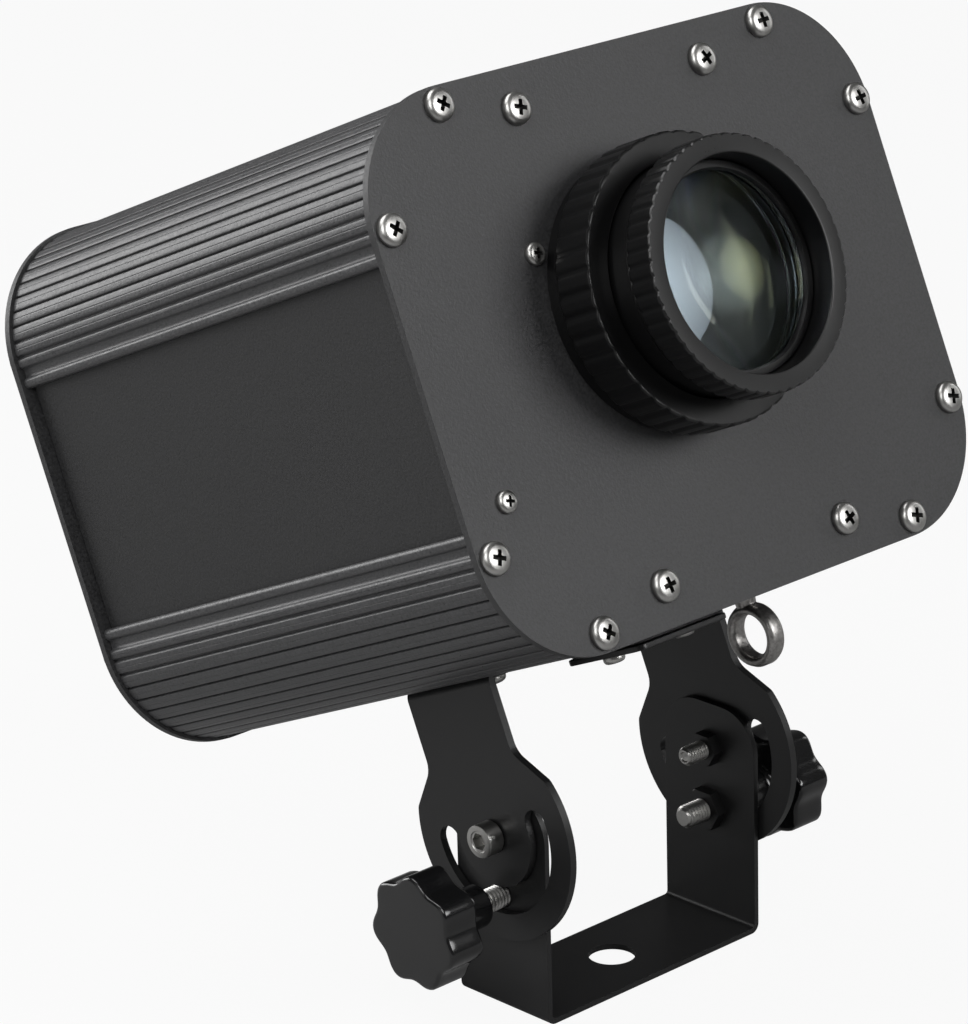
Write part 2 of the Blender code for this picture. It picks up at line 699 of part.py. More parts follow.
def end_plates(parent, steel):
    outline = rounded_rectangle(HOUSING_WIDTH, HOUSING_HEIGHT, HOUSING_CORNER, 8)
    holes = [circle(x, y, PLATE_SCREW_RADIUS + GAP, 8) for x, y in screw_places()]
    lens = circle(*LENS_AXIS, MOUNT_RADIUS + GAP, LENS_STEPS)
    motor = [circle(x, y, MOTOR_SCREW_RADIUS + GAP, 8) for x, y in MOTOR_SCREWS]
    piece("front_plate", prism(outline, -PLATE, 0, [lens, *holes, *motor]), steel, parent)
    gland = circle(*GLAND_PLACE, GLAND_THREAD + GAP, GLAND_STEPS)
    rear = -HOUSING_LENGTH
    piece("rear_plate", prism(outline, rear, rear + PLATE, [gland, *holes]), steel, parent)


def plate_screws(parent, nickel):
    """Twelve screws round the front plate and the two smaller ones of the gear motor."""
    for number, (x, y) in enumerate(screw_places(), 1):
        pan_screw(f"front_screw_{number:02d}", nickel, parent, x, y, PLATE_SCREW_HEAD,
                  PLATE_SCREW_HEAD_HEIGHT, PLATE_SCREW_RADIUS, PLATE_SCREW_LENGTH)
    for number, (x, y) in enumerate(MOTOR_SCREWS, 1):
        pan_screw(f"motor_screw_{number}", nickel, parent, x, y, MOTOR_SCREW_HEAD, MOTOR_SCREW_HEAD_HEIGHT,
                  MOTOR_SCREW_RADIUS, MOTOR_SCREW_LENGTH)


# Cable inlet


def cable_gland(parent, plastic):
    """Empty gland for the supply cord: body and cap."""
    x, y = GLAND_PLACE
    face = -HOUSING_LENGTH - GAP
    axis = empty("gland_axis", parent, (x, y, 0))
    bore = GLAND_BORE
    inner = face + GLAND_THREAD_LENGTH
    flange = face - GLAND_FLANGE_LENGTH
    spigot = face - GLAND_THREAD_LENGTH
    body = [(bore, inner), (GLAND_THREAD, inner), (GLAND_THREAD, face), (GLAND_FLANGE, face),
            (GLAND_FLANGE, flange), (GLAND_SPIGOT, flange), (GLAND_SPIGOT, spigot), (bore, spigot)]
    piece("gland_body", turned(body, GLAND_STEPS), plastic, axis)
    seat = flange - GAP
    end = seat - GLAND_CAP_LENGTH
    hollow = GLAND_SPIGOT + GAP
    shoulder = seat - GLAND_CAP_SHOULDER
    cap = [(hollow, seat), (GLAND_CAP, seat), (GLAND_CAP, shoulder), (GLAND_SPIGOT, end), (bore, end),
           (bore, shoulder), (hollow, shoulder + 3 * GAP)]
    piece("gland_cap", turned(cap, GLAND_STEPS), plastic, axis)


# Lens


def lens_mount(axis, metal):
    """Collar on the plate, with the threaded tube that the lock ring and the barrel run on."""
    bore = MOUNT_BORE
    r = MOUNT_RADIUS
    flange = MOUNT_FLANGE_FRONT
    profile = [(bore, MOUNT_REAR), (r, MOUNT_REAR), (r, GAP), (MOUNT_FLANGE, GAP), (MOUNT_FLANGE, flange),
               (r, flange), (r, MOUNT_FRONT), (bore, MOUNT_FRONT)]
    piece("lens_mount", turned(profile, LENS_STEPS), metal, axis)


def lock_ring(axis, metal):
    """Large ring: turned home, it clamps the focusing barrel."""
    r = LOCK_RING_RADIUS
    c = LOCK_RING_CHAMFER
    rear = LOCK_RING_REAR
    front = LOCK_RING_FRONT
    lip = front - LOCK_RING_LIP
    bore = MOUNT_RADIUS + GAP
    profile = [(bore, rear), (r - c, rear), (r, rear + c), (r, front - c), (r - c, front),
               (MOUNT_BORE, front), (MOUNT_BORE, lip), (bore, lip)]
    piece("lock_ring", turned(profile, LENS_STEPS), metal, axis)


def focus_barrel(axis, metal):
    """Focusing barrel with a shoulder for the glass and a grip at its mouth."""
    r = FOCUS_RING_RADIUS
    c = LOCK_RING_CHAMFER
    rear = FOCUS_RING_REAR
    front = FOCUS_RING_FRONT
    shoulder = BARREL_BORE - GLASS_SHOULDER_DEPTH
    low = GLASS_SHOULDER - GLASS_SHOULDER_DEPTH
    bore = BARREL_BORE
    profile = [(shoulder, GLASS_SHOULDER), (shoulder, low), (bore, low - GLASS_SHOULDER_DEPTH),
               (bore, BARREL_REAR), (BARREL_RADIUS, BARREL_REAR), (BARREL_RADIUS, rear), (r - c, rear),
               (r, rear + c), (r, front - c), (r - c, front), (bore, front), (bore, GLASS_SHOULDER)]
    piece("focus_barrel", turned(profile, LENS_STEPS), metal, axis)


def sag(radius, aperture):
    return radius - math.sqrt(radius * radius - aperture * aperture)


def lens_profile(edge, front, back, curve):
    """Half section of a plano-convex lens; the curve is its radius of curvature."""
    profile = [(0, back), (edge, back)]
    for share in (1, 0.7, 0.35, 0):
        r = edge * share
        profile.append((r, front + sag(curve, edge) - sag(curve, r)))
    return profile


def lens_glass(axis, glass, metal):
    """Front lens between the barrel's shoulder and a threaded ring, and the rear lens behind it."""
    edge = BARREL_BORE - GAP
    front = lens_profile(edge, FRONT_LENS_EDGE, FRONT_LENS_REAR, FRONT_LENS_CURVE)
    piece("front_lens", turned(front, LENS_STEPS), glass, axis, smooth=60)
    sunk = FRONT_LENS_EDGE + sag(FRONT_LENS_CURVE, edge) - sag(FRONT_LENS_CURVE, RETAINER_BORE) + GAP
    ring = [(RETAINER_BORE, sunk), (edge, FRONT_LENS_EDGE + GAP), (edge, RETAINER_FRONT),
            (RETAINER_BORE + GAP, RETAINER_FRONT)]
    piece("lens_retainer", turned(ring, LENS_STEPS), metal, axis)
    rear = lens_profile(edge, REAR_LENS_EDGE, REAR_LENS_REAR, REAR_LENS_CURVE)
    piece("rear_lens", turned(rear, LENS_STEPS), glass, axis, smooth=60)


# Gear motor and colour wheel


def shaft_place():
    """The motor's shaft stands off the line between its screws, on the lens's side."""
    (x0, y0), (x1, y1) = MOTOR_SCREWS
    span = math.hypot(x1 - x0, y1 - y0)
    nx = -(y1 - y0) / span
    ny = (x1 - x0) / span
    side = 1 if nx > 0 else -1
    return ((x0 + x1) / 2 + side * nx * MOTOR_SHAFT_OFFSET, (y0 + y1) / 2 + side * ny * MOTOR_SHAFT_OFFSET)


def gear_outline(teeth, module, phase):
    """Trapezoid teeth; phase in degrees points the middle of one tooth."""
    tip = module * (teeth / 2 + TOOTH_TIP)
    root = module * (teeth / 2 - TOOTH_ROOT)
    step = 360 / teeth
    outline = []
    for i in range(teeth):
        middle = phase + i * step
        for turn, radius in ((-0.31, root), (-0.13, tip), (0.13, tip), (0.31, root)):
            angle = math.radians(middle + turn * step)
            outline.append((radius * math.cos(angle), radius * math.sin(angle)))
    return outline


def gear_motor(parent, steel, plastic):
    """Flat synchronous gear motor behind the front plate, on two tubular spacers."""
    (x0, y0), (x1, y1) = MOTOR_SCREWS
    cx = (x0 + x1) / 2
    cy = (y0 + y1) / 2
    length = math.hypot(x1 - x0, y1 - y0) / 2
    angle = math.degrees(math.atan2(y1 - y0, x1 - x0))
    outline = circle(cx, cy, MOTOR_RADIUS, 24)
    can = piece("gear_motor", prism(outline, -MOTOR_REAR, -MOTOR_FRONT), steel, parent)
    r = MOTOR_EAR_RADIUS
    ears = arc(length, 0, r, -90, 90, 4) + arc(-length, 0, r, 90, 270, 4)
    turn = math.radians(angle)
    ears = [(cx + u * math.cos(turn) - v * math.sin(turn), cy + u * math.sin(turn) + v * math.cos(turn))
            for u, v in ears]
    sunk = -MOTOR_FRONT - MOTOR_EAR_SHEET
    strap = piece("motor_ears", prism(ears, sunk, -MOTOR_FRONT - 0.0001), None, parent)
    carve(can, strap, "UNION")
    spacers = bmesh.new()
    bores = bmesh.new()
    for x, y in MOTOR_SCREWS:
        add_prism(spacers, circle(x, y, MOTOR_SPACER_RADIUS, 8), [], sunk / 2 - MOTOR_FRONT / 2, -PLATE - GAP)
        add_prism(bores, circle(x, y, MOTOR_SCREW_RADIUS + GAP, 8), [], -MOTOR_REAR, 0)
    carve(can, piece("motor_spacers", spacers, None, parent), "UNION")
    carve(can, piece("motor_bores", bores, None, parent))

    axis = empty("pinion_axis", parent, (*shaft_place(), 0))
    module, towards = gear_geometry()
    phase = towards + 180 / PINION_TEETH
    outline = gear_outline(PINION_TEETH, module, phase)
    pinion = piece("motor_pinion", prism(outline, -PINION_REAR, -PINION_FRONT), plastic, axis)
    shaft = circle(0, 0, MOTOR_SHAFT_RADIUS, 12)
    shaft = piece("motor_shaft", prism(shaft, -PINION_REAR - 0.001, -MOTOR_REAR - GAP), None, axis)
    carve(pinion, shaft, "UNION")


def gear_geometry():
    """Module from the distance between the axes, and the way from the pinion to the wheel."""
    sx, sy = shaft_place()
    wx, wy = WHEEL_CENTRE
    distance = math.hypot(wx - sx, wy - sy)
    module = 2 * distance / (WHEEL_TEETH + PINION_TEETH)
    return module, math.degrees(math.atan2(wy - sy, wx - sx))


def colour_wheel(parent, metal, plastic):
    """Toothed disc on a fixed spindle, with six round filters and an open place."""
    axis = empty("wheel_axis", parent, (*WHEEL_CENTRE, 0))
    module, towards = gear_geometry()
    outline = gear_outline(WHEEL_TEETH, module, towards + 180)
    lx = LENS_AXIS[0] - WHEEL_CENTRE[0]
    ly = LENS_AXIS[1] - WHEEL_CENTRE[1]
    radius = math.hypot(lx, ly)
    start = math.atan2(ly, lx)
    places = [(radius * math.cos(start + 2 * math.pi * i / WHEEL_PLACES),
               radius * math.sin(start + 2 * math.pi * i / WHEEL_PLACES)) for i in range(WHEEL_PLACES)]
    front = -WHEEL_DEPTH + WHEEL_SHEET / 2
    back = front - WHEEL_SHEET
    holes = [circle(x, y, FILTER_RADIUS - FILTER_SEAT, 12) for x, y in places]
    holes.append(circle(0, 0, HUB_RADIUS + GAP, 12))
    piece("colour_wheel", prism(outline, back, front, holes), metal, axis)
    bore = SPINDLE_RADIUS + GAP
    top = front + 2 * WHEEL_SHEET
    end = back - 2 * WHEEL_SHEET
    hub = [(bore, top), (HUB_FLANGE, top), (HUB_FLANGE, front + GAP), (HUB_RADIUS, front + GAP),
           (HUB_RADIUS, end), (bore, end)]
    piece("wheel_hub", turned(hub, 12), plastic, axis)
    for (x, y), (color, tint) in zip(places[1:], FILTERS):
        disc = prism(circle(x, y, FILTER_RADIUS, 14), back - GAP - FILTER_GLASS, back - GAP)
        piece("filter_" + color, disc, finish("filter_" + color, tint, 0.05, 0.0, 0.5), axis)
    seat = top + GAP
    tip = -FRAME_DEPTH - FRAME_SHEET - 0.002
    spindle = [(0, seat + 3 * GAP), (SPINDLE_HEAD, seat + 3 * GAP), (SPINDLE_HEAD, seat),
               (SPINDLE_RADIUS, seat), (SPINDLE_RADIUS, tip), (0, tip)]
    piece("wheel_spindle", turned(spindle, 12), plastic, axis)


# Optics frame, lamp engine and electronics


def optics_frame(parent, steel):
    """Upright sheet with pressed-in pillars: four reach to the front plate, four to the heat sink."""
    width = 2 * PILLAR_SCREW[0] + 0.012
    height = 2 * PILLAR_SCREW[1] + 0.010
    corners = four_ways(PILLAR_SCREW)
    front = -FRAME_DEPTH
    back = front - FRAME_SHEET
    middle = (front + back) / 2
    holes = [circle(*LENS_AXIS, FRAME_OPENING, 20), circle(*WHEEL_CENTRE, SPINDLE_RADIUS + GAP, 12)]
    outline = rounded_rectangle(width, height, 0.004, 3)
    frame = piece("optics_frame", prism(outline, back, front, holes), steel, parent)
    pillars = bmesh.new()
    bores = bmesh.new()
    for x, y in corners:
        add_prism(pillars, circle(x, y, FRAME_PILLAR, 8), [], middle, -PLATE - GAP)
        add_prism(bores, circle(x, y, PLATE_SCREW_RADIUS + GAP, 8), [], back - FRAME_SHEET, 0)
    for x, y in four_ways((HEAT_SINK_PILLAR, HEAT_SINK_PILLAR)):
        place = (x + LENS_AXIS[0], y + LENS_AXIS[1])
        add_prism(pillars, circle(*place, SINK_PILLAR, 8), [], -HEAT_SINK_DEPTH + GAP, middle)
    carve(frame, piece("frame_pillars", pillars, None, parent), "UNION")
    carve(frame, piece("frame_bores", bores, None, parent))


def lamp_engine(parent, metal, plastic, glass, board):
    """Gate, condenser, LED and heat sink in line with the lens."""
    axis = empty("light_axis", parent, (*LENS_AXIS, 0))
    front = -FRAME_DEPTH
    sheet = FRAME_SHEET
    gate = [(GATE_OPENING, front + sheet), (GATE_RADIUS, front + sheet), (GATE_RADIUS, front - sheet),
            (GATE_OPENING, front - sheet)]
    piece("gate_ring", turned(gate, 20), metal, axis)
    seat = front - sheet - GAP
    inner = CONDENSER_RADIUS + GAP
    end = seat - HOLDER_LENGTH
    back = seat - sheet
    holder = [(inner, back), (HOLDER_OPENING, back), (HOLDER_OPENING, seat), (HOLDER_FLANGE, seat),
              (HOLDER_FLANGE, back), (HOLDER_RADIUS, back), (HOLDER_RADIUS, end), (inner, end)]
    piece("condenser_holder", turned(holder, 20), plastic, axis)
    middle = seat - HOLDER_LENGTH / 2
    condenser = lens_profile(CONDENSER_RADIUS, middle, middle - 2 * sheet, CONDENSER_CURVE)
    piece("condenser_lens", turned(condenser, 20), glass, axis, smooth=60)
    sink = -HEAT_SINK_DEPTH
    plate = rounded_rectangle(LED_BOARD_WIDTH, LED_BOARD_WIDTH, 0.002, 2)
    led = piece("led_board", prism(plate, sink + GAP, sink + BOARD_SHEET), board, axis)
    emitter = prism(circle(0, 0, LED_RADIUS, 16), sink + 0.6 * BOARD_SHEET, sink + 1.6 * BOARD_SHEET)
    carve(led, piece("led_emitter", emitter, None, axis), "UNION")

    half = SINK_HALF_WIDTH
    tip = -SINK_BASE - FIN_DEPTH
    comb = [(-half, 0), (-half, -SINK_BASE)]
    pitch = 2 * half / (FIN_COUNT - 0.6)
    for i in range(FIN_COUNT):
        left = -half + i * pitch
        right = min(left + 0.4 * pitch, half)
        if i:
            comb.append((left, -SINK_BASE))
        comb += [(left, tip), (right, tip)]
        if i < FIN_COUNT - 1:
            comb.append((right, -SINK_BASE))
    comb.append((half, 0))
    piece("heat_sink", prism(comb, -half, half), metal, axis, (0, 0, sink), SIDE, 0)


def electronics(parent, steel, board):
    """Driver box on the bottom shell and the control board on pillars of the rear plate."""
    floor = -HOUSING_HEIGHT / 2 + SHELL_INSET + SHELL_WALL + GAP
    width, height, near, far = DRIVER_BOX
    outline = rounded_rectangle(width, height, 0.0015, 2, 0, floor + height / 2)
    piece("driver_box", prism(outline, -far, -near), steel, parent)

    rear = -HOUSING_LENGTH + PLATE + GAP
    level = rear + BOARD_PILLAR_LENGTH
    sheet = BOARD_SHEET
    laminate = rounded_rectangle(*BOARD_SIZE, 0.002, 2)
    circuit = piece("control_board", prism(laminate, level, level + sheet), board, parent)
    parts = bmesh.new()
    bores = bmesh.new()
    for x, y in four_ways(PILLAR_SCREW):
        add_prism(parts, circle(x, y, FRAME_PILLAR, 8), [], rear, level + sheet / 2)
        add_prism(bores, circle(x, y, PLATE_SCREW_RADIUS + GAP, 8), [], rear - sheet, level + 2 * sheet)
    for x0, y0, x1, y1, height in BOARD_COMPONENTS:
        add_prism(parts, rectangle(x0, y0, x1, y1), [], level + sheet / 2, level + height)
    carve(circuit, piece("board_parts", parts, None, parent), "UNION")
    carve(circuit, piece("board_bores", bores, None, parent))


def main():
    clear_scene()
    black = finish("satin_black", (0.018, 0.018, 0.019), 0.45)
    coated = finish("powder_coat", (0.060, 0.060, 0.063), 0.6)
    ribbed = finish("anodised_ribs", (0.055, 0.055, 0.058), 0.4, 0.5)
    lens_black = finish("lens_black", (0.012, 0.012, 0.013), 0.35, 0.3)
    nickel = finish("nickel", (0.66, 0.65, 0.63), 0.25, 1.0)
    cast = finish("cast_steel", (0.45, 0.44, 0.43), 0.35, 1.0)
    knob_plastic = finish("knob_plastic", (0.015, 0.015, 0.016), 0.2)
    rubber = finish("rubber", (0.02, 0.02, 0.02), 0.8)
    nylon = finish("nylon", (0.03, 0.03, 0.03), 0.5)
    glass = finish("glass", (0.82, 0.90, 0.95), 0.02, 0.0, 0.35)
    aluminium = finish("aluminium", (0.75, 0.76, 0.77), 0.35, 1.0)
    board = finish("board", (0.03, 0.18, 0.08), 0.5)

    yoke(black)
    pivot_screws(nickel)
    clamp("left", LEFT_NECK_END, knob_plastic, nickel)
    clamp("right", RIGHT_NECK_END, knob_plastic, nickel)

    pivot = empty("tilt_pivot", None, (0, 0, PIVOT_HEIGHT), (-TILT, 0, 0))
    hanger(pivot, black)
    hanger_screws(pivot, nickel)
    housing = empty("housing", pivot, (0, -PIVOT_BEHIND_FACE, PIVOT_BELOW_AXIS), FRONT)
    shell("top_shell", housing, ribbed, 0)
    bottom = shell("bottom_shell", housing, ribbed, math.pi)
    bottom_openings(housing, bottom)
    side_panel("left_panel", housing, coated, -1)
    side_panel("right_panel", housing, coated, 1)
    end_plates(housing, coated)
    plate_screws(housing, nickel)
    service_cover(housing, black, rubber)
    safety_eye(housing, cast)
    cable_gland(housing, nylon)

    lens = empty("lens_axis", housing, (*LENS_AXIS, 0))
    lens_mount(lens, lens_black)
    lock_ring(lens, lens_black)
    focus_barrel(lens, lens_black)
    lens_glass(lens, glass, lens_black)

    gear_motor(housing, aluminium, nylon)
    colour_wheel(housing, aluminium, nylon)
    optics_frame(housing, black)
    lamp_engine(housing, aluminium, nylon, glass, board)
    electronics(housing, aluminium, board)


main()
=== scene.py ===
import math

import bmesh
import bpy
from mathutils import Euler, Matrix, Vector


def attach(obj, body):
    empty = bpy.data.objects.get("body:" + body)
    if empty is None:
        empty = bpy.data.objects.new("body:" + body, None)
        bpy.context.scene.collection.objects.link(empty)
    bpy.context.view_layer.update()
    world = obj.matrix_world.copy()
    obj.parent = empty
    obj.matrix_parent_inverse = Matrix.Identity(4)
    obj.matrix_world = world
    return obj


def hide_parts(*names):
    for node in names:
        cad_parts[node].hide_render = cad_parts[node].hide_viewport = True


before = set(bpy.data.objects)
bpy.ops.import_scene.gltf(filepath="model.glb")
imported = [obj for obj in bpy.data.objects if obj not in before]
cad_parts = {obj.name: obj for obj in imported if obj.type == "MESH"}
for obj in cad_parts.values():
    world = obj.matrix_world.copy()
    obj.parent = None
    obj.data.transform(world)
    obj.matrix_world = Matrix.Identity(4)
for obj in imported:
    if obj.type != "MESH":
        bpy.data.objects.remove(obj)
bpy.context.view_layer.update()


# Yoke. A strip of 1.5 mm steel sheet, folded up into two arms and powder-coated satin black. It is
# bolted to a clamp through the hole in its base. Four thin nuts are welded inside its arms: two for
# the pivot screws and, below them, two for the clamp studs.
YOKE_WIDTH = 0.0754
YOKE_DEPTH = 0.031
YOKE_HEIGHT = 0.059
YOKE_SHEET = 0.0015
YOKE_BEND = 0.0024
ARM_CORNER = 0.011
BOLT_HOLE = 0.006
PIVOT_HEIGHT = 0.047
CLAMP_HEIGHT = 0.0305
NEAR = 0.001


def pick(thing):
    """Selects one object and makes it the active one."""
    bpy.ops.object.select_all(action="DESELECT")
    thing.select_set(True)
    bpy.context.view_layer.objects.active = thing
    return thing


def name_piece(name):
    """Names the primitive that was just added and applies its place."""
    thing = pick(bpy.context.active_object)
    thing.name = name
    thing.data.name = name
    bpy.ops.object.transform_apply(location=True, rotation=True, scale=True)
    return thing


def rod(name, radius, length, place=(0, 0, 0), along="z", sides=48):
    """A cylinder, or a prism of few sides, whose middle is at the place."""
    turn = {"x": (0, math.pi / 2, 0), "y": (math.pi / 2, 0, 0), "z": (0, 0, 0)}[along]
    bpy.ops.mesh.primitive_cylinder_add(vertices=sides, radius=radius, depth=length, location=place,
                                        rotation=turn)
    return name_piece(name)


def switch_to(mode):
    bpy.ops.object.mode_set(mode=mode)


def choose(thing, kind, rule):
    """In edit mode, selects only the vertices, edges or faces whose points all pass the rule."""
    bpy.ops.mesh.select_mode(type=kind)
    bpy.ops.mesh.select_all(action="DESELECT")
    mesh = bmesh.from_edit_mesh(thing.data)
    for item in {"VERT": mesh.verts, "EDGE": mesh.edges, "FACE": mesh.faces}[kind]:
        points = [item.co] if kind == "VERT" else [v.co for v in item.verts]
        if all(rule(point) for point in points):
            item.select_set(True)
    bmesh.update_edit_mesh(thing.data)


def round_edges(thing, radius, segments, rule):
    """Rounds the edges whose two ends pass the rule."""
    pick(thing)
    switch_to("EDIT")
    choose(thing, "EDGE", rule)
    bpy.ops.mesh.bevel(offset=radius, segments=segments, affect="EDGES")
    switch_to("OBJECT")
    return thing


def use(thing, kind, **settings):
    """Adds a modifier with these settings and applies it."""
    pick(thing)
    modifier = thing.modifiers.new(kind.lower(), kind)
    for key, value in settings.items():
        setattr(modifier, key, value)
    bpy.ops.object.modifier_apply(modifier=modifier.name)
    return thing


def join(first, *others):
    """Makes several objects one."""
    bpy.ops.object.select_all(action="DESELECT")
    for thing in (first, *others):
        thing.select_set(True)
    bpy.context.view_layer.objects.active = first
    bpy.ops.object.join()
    return first


def combine(thing, tool, operation="DIFFERENCE"):
    """Cuts a tool out of a piece, or adds it, and throws the tool away."""
    use(thing, "BOOLEAN", operation=operation, solver="EXACT", use_self=True, object=tool)
    bpy.data.objects.remove(tool, do_unlink=True)
    return thing


def smooth(thing, angle=35):
    """Shades smooth up to an angle, with the normals of the large faces kept flat."""
    pick(thing)
    bpy.ops.object.shade_smooth_by_angle(angle=math.radians(angle))
    return use(thing, "WEIGHTED_NORMAL", keep_sharp=True, weight=100)


def mend_normals():
    """Turns all faces of the mesh in edit mode outwards."""
    bpy.ops.mesh.select_all(action="SELECT")
    bpy.ops.mesh.normals_make_consistent(inside=False)


def soften(thing, width, segments=2, angle=35):
    """Breaks the sharp edges and shades the piece."""
    use(thing, "BEVEL", width=width, segments=segments, limit_method="ANGLE",
        angle_limit=math.radians(angle), miter_outer="MITER_ARC", use_clamp_overlap=True)
    pick(thing)
    switch_to("EDIT")
    bpy.ops.mesh.select_all(action="SELECT")
    bpy.ops.mesh.remove_doubles(threshold=1e-6)
    mend_normals()
    switch_to("OBJECT")
    return smooth(thing, 40)


bpy.ops.mesh.primitive_plane_add(size=1)
yoke = name_piece("yoke_sheet")
yoke.scale = (YOKE_WIDTH, YOKE_DEPTH, 1)
name_piece("yoke_sheet")
switch_to("EDIT")
for side in (1, -1):
    choose(yoke, "EDGE", lambda p: side * p.x > YOKE_WIDTH / 2 - NEAR and p.z < NEAR)
    bpy.ops.mesh.extrude_edges_move(TRANSFORM_OT_translate={"value": (0, 0, YOKE_HEIGHT)})
choose(yoke, "VERT", lambda p: p.z > YOKE_HEIGHT - NEAR)
bpy.ops.mesh.bevel(offset=ARM_CORNER, segments=12, affect="VERTICES")
mend_normals()
switch_to("OBJECT")
for side in (1, -1):
    round_edges(yoke, YOKE_BEND, 6, lambda p: side * p.x > YOKE_WIDTH / 2 - NEAR and p.z < NEAR)


def fold_thickness(sheet, thickness, middle):
    """Gives a folded surface its sheet thickness on the side that faces a middle point."""
    face = max(sheet.data.polygons, key=lambda polygon: polygon.area)
    inwards = 1 if face.normal.dot(Vector(middle) - face.center) > 0 else -1
    return use(sheet, "SOLIDIFY", thickness=thickness, offset=inwards, use_even_offset=True)


fold_thickness(yoke, YOKE_SHEET, (0, 0, YOKE_HEIGHT / 2))
combine(yoke, rod("bolt_hole", BOLT_HOLE, 0.01, sides=64))
for radius, height in ((0.0027, PIVOT_HEIGHT), (0.0032, CLAMP_HEIGHT)):
    combine(yoke, rod("arm_hole", radius, 0.1, (0, 0, height), "x"))
soften(yoke, 0.00025)

NUT_THICKNESS = 0.0029
INNER_FACE = YOKE_WIDTH / 2 - YOKE_SHEET
nuts = []
for side in (1, -1):
    for height, flats, bore in ((PIVOT_HEIGHT, 0.008, 0.0026), (CLAMP_HEIGHT, 0.010, 0.0031)):
        middle = (side * (INNER_FACE - NUT_THICKNESS / 2), 0, height)
        nut = rod("nut", flats / math.sqrt(3), NUT_THICKNESS, middle, "x", 6)
        combine(nut, rod("nut_bore", bore, 0.01, (side * INNER_FACE, 0, height), "x", 32))
        chamfer = rod("nut_chamfer", flats * 0.575, NUT_THICKNESS, middle, "x")
        round_edges(chamfer, 0.0005, 2, lambda p: side * p.x < INNER_FACE - NUT_THICKNESS / 2)
        combine(nut, chamfer, "INTERSECT")
        nuts.append(soften(nut, 0.0001, 1))
yoke_nuts = join(*nuts)
yoke_nuts.name = "yoke_weld_nuts"
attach(yoke, "yoke")
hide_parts("yoke")
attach(yoke_nuts, "yoke")


def make_coat_grain():
    """The fine grain and soft clouds that a powder coat or a moulding has in its colour, gloss and bump."""
    group = bpy.data.node_groups.new("coat_grain", "ShaderNodeTree")
    group.interface.new_socket("Color", in_out="INPUT", socket_type="NodeSocketColor")
    for name in ("Grain Size", "Speckle", "Cloud", "Roughness", "Bump"):
        group.interface.new_socket(name, in_out="INPUT", socket_type="NodeSocketFloat")
    for name, kind in (("Color", "Color"), ("Roughness", "Float"), ("Normal", "Vector")):
        group.interface.new_socket(name, in_out="OUTPUT", socket_type="NodeSocket" + kind)
    nodes, links = group.nodes, group.links
    given = nodes.new("NodeGroupInput")
    result = nodes.new("NodeGroupOutput")
    place = nodes.new("ShaderNodeTexCoord")

    def number(operation, a, b, c=None):
        node = nodes.new("ShaderNodeMath")
        node.operation = operation
        for socket, value in zip(node.inputs, (a, b, c)):
            if isinstance(value, (int, float)):
                socket.default_value = value
            elif value is not None:
                links.new(value, socket)
        return node.outputs[0]

    frequency = number("DIVIDE", 1.0, given.outputs["Grain Size"])
    fine = nodes.new("ShaderNodeTexNoise")
    fine.inputs["Detail"].default_value = 3.0
    fine.inputs["Roughness"].default_value = 0.6
    links.new(place.outputs["Object"], fine.inputs["Vector"])
    links.new(frequency, fine.inputs["Scale"])
    soft = nodes.new("ShaderNodeTexNoise")
    soft.inputs["Scale"].default_value = 38.0
    soft.inputs["Detail"].default_value = 4.0
    links.new(place.outputs["Object"], soft.inputs["Vector"])
    speckle = number("MULTIPLY", number("SUBTRACT", fine.outputs["Fac"], 0.5), given.outputs["Speckle"])
    cloud = number("MULTIPLY", number("SUBTRACT", soft.outputs["Fac"], 0.5), given.outputs["Cloud"])
    tone = number("ADD", number("MULTIPLY_ADD", speckle, 2.0, 1.0), number("MULTIPLY", cloud, 2.0))
    shade = nodes.new("ShaderNodeVectorMath")
    shade.operation = "SCALE"
    links.new(given.outputs["Color"], shade.inputs[0])
    links.new(tone, shade.inputs["Scale"])
    links.new(shade.outputs["Vector"], result.inputs["Color"])
    gloss = number("ADD", given.outputs["Roughness"], number("ADD", cloud, number("MULTIPLY", speckle, 0.5)))
    links.new(gloss, result.inputs["Roughness"])
    bump = nodes.new("ShaderNodeBump")
    bump.inputs["Distance"].default_value = 0.0001
    links.new(given.outputs["Bump"], bump.inputs["Strength"])
    links.new(fine.outputs["Fac"], bump.inputs["Height"])
    links.new(bump.outputs["Normal"], result.inputs["Normal"])
    return group


coat_grain = make_coat_grain()


def coated(name, color, grain, speckle, cloud, roughness, bump, metallic=0.0, coat=0.0):
    """A Principled material whose colour, roughness and normal come from the coat grain."""
    material = bpy.data.materials.new(name)
    material.use_nodes = True
    nodes, links = material.node_tree.nodes, material.node_tree.links
    shader = nodes["Principled BSDF"]
    shader.inputs["Metallic"].default_value = metallic
    shader.inputs["Coat Weight"].default_value = coat
    surface = nodes.new("ShaderNodeGroup")
    surface.node_tree = coat_grain
    for key, value in (("Color", (*color, 1)), ("Grain Size", grain), ("Speckle", speckle),
                       ("Cloud", cloud), ("Roughness", roughness), ("Bump", bump)):
        surface.inputs[key].default_value = value
    links.new(surface.outputs["Color"], shader.inputs["Base Color"])
    links.new(surface.outputs["Roughness"], shader.inputs["Roughness"])
    links.new(surface.outputs["Normal"], shader.inputs["Normal"])
    return material


def dress(material, *things):
    """Gives pieces one material all over."""
    for thing in things:
        thing.data.materials.clear()
        thing.data.materials.append(material)


satin_black = coated("satin_black_coat", (0.009, 0.009, 0.0094), grain=0.0005, speckle=0.25, cloud=0.15,
                     roughness=0.38, bump=0.06)
dress(satin_black, yoke, yoke_nuts)


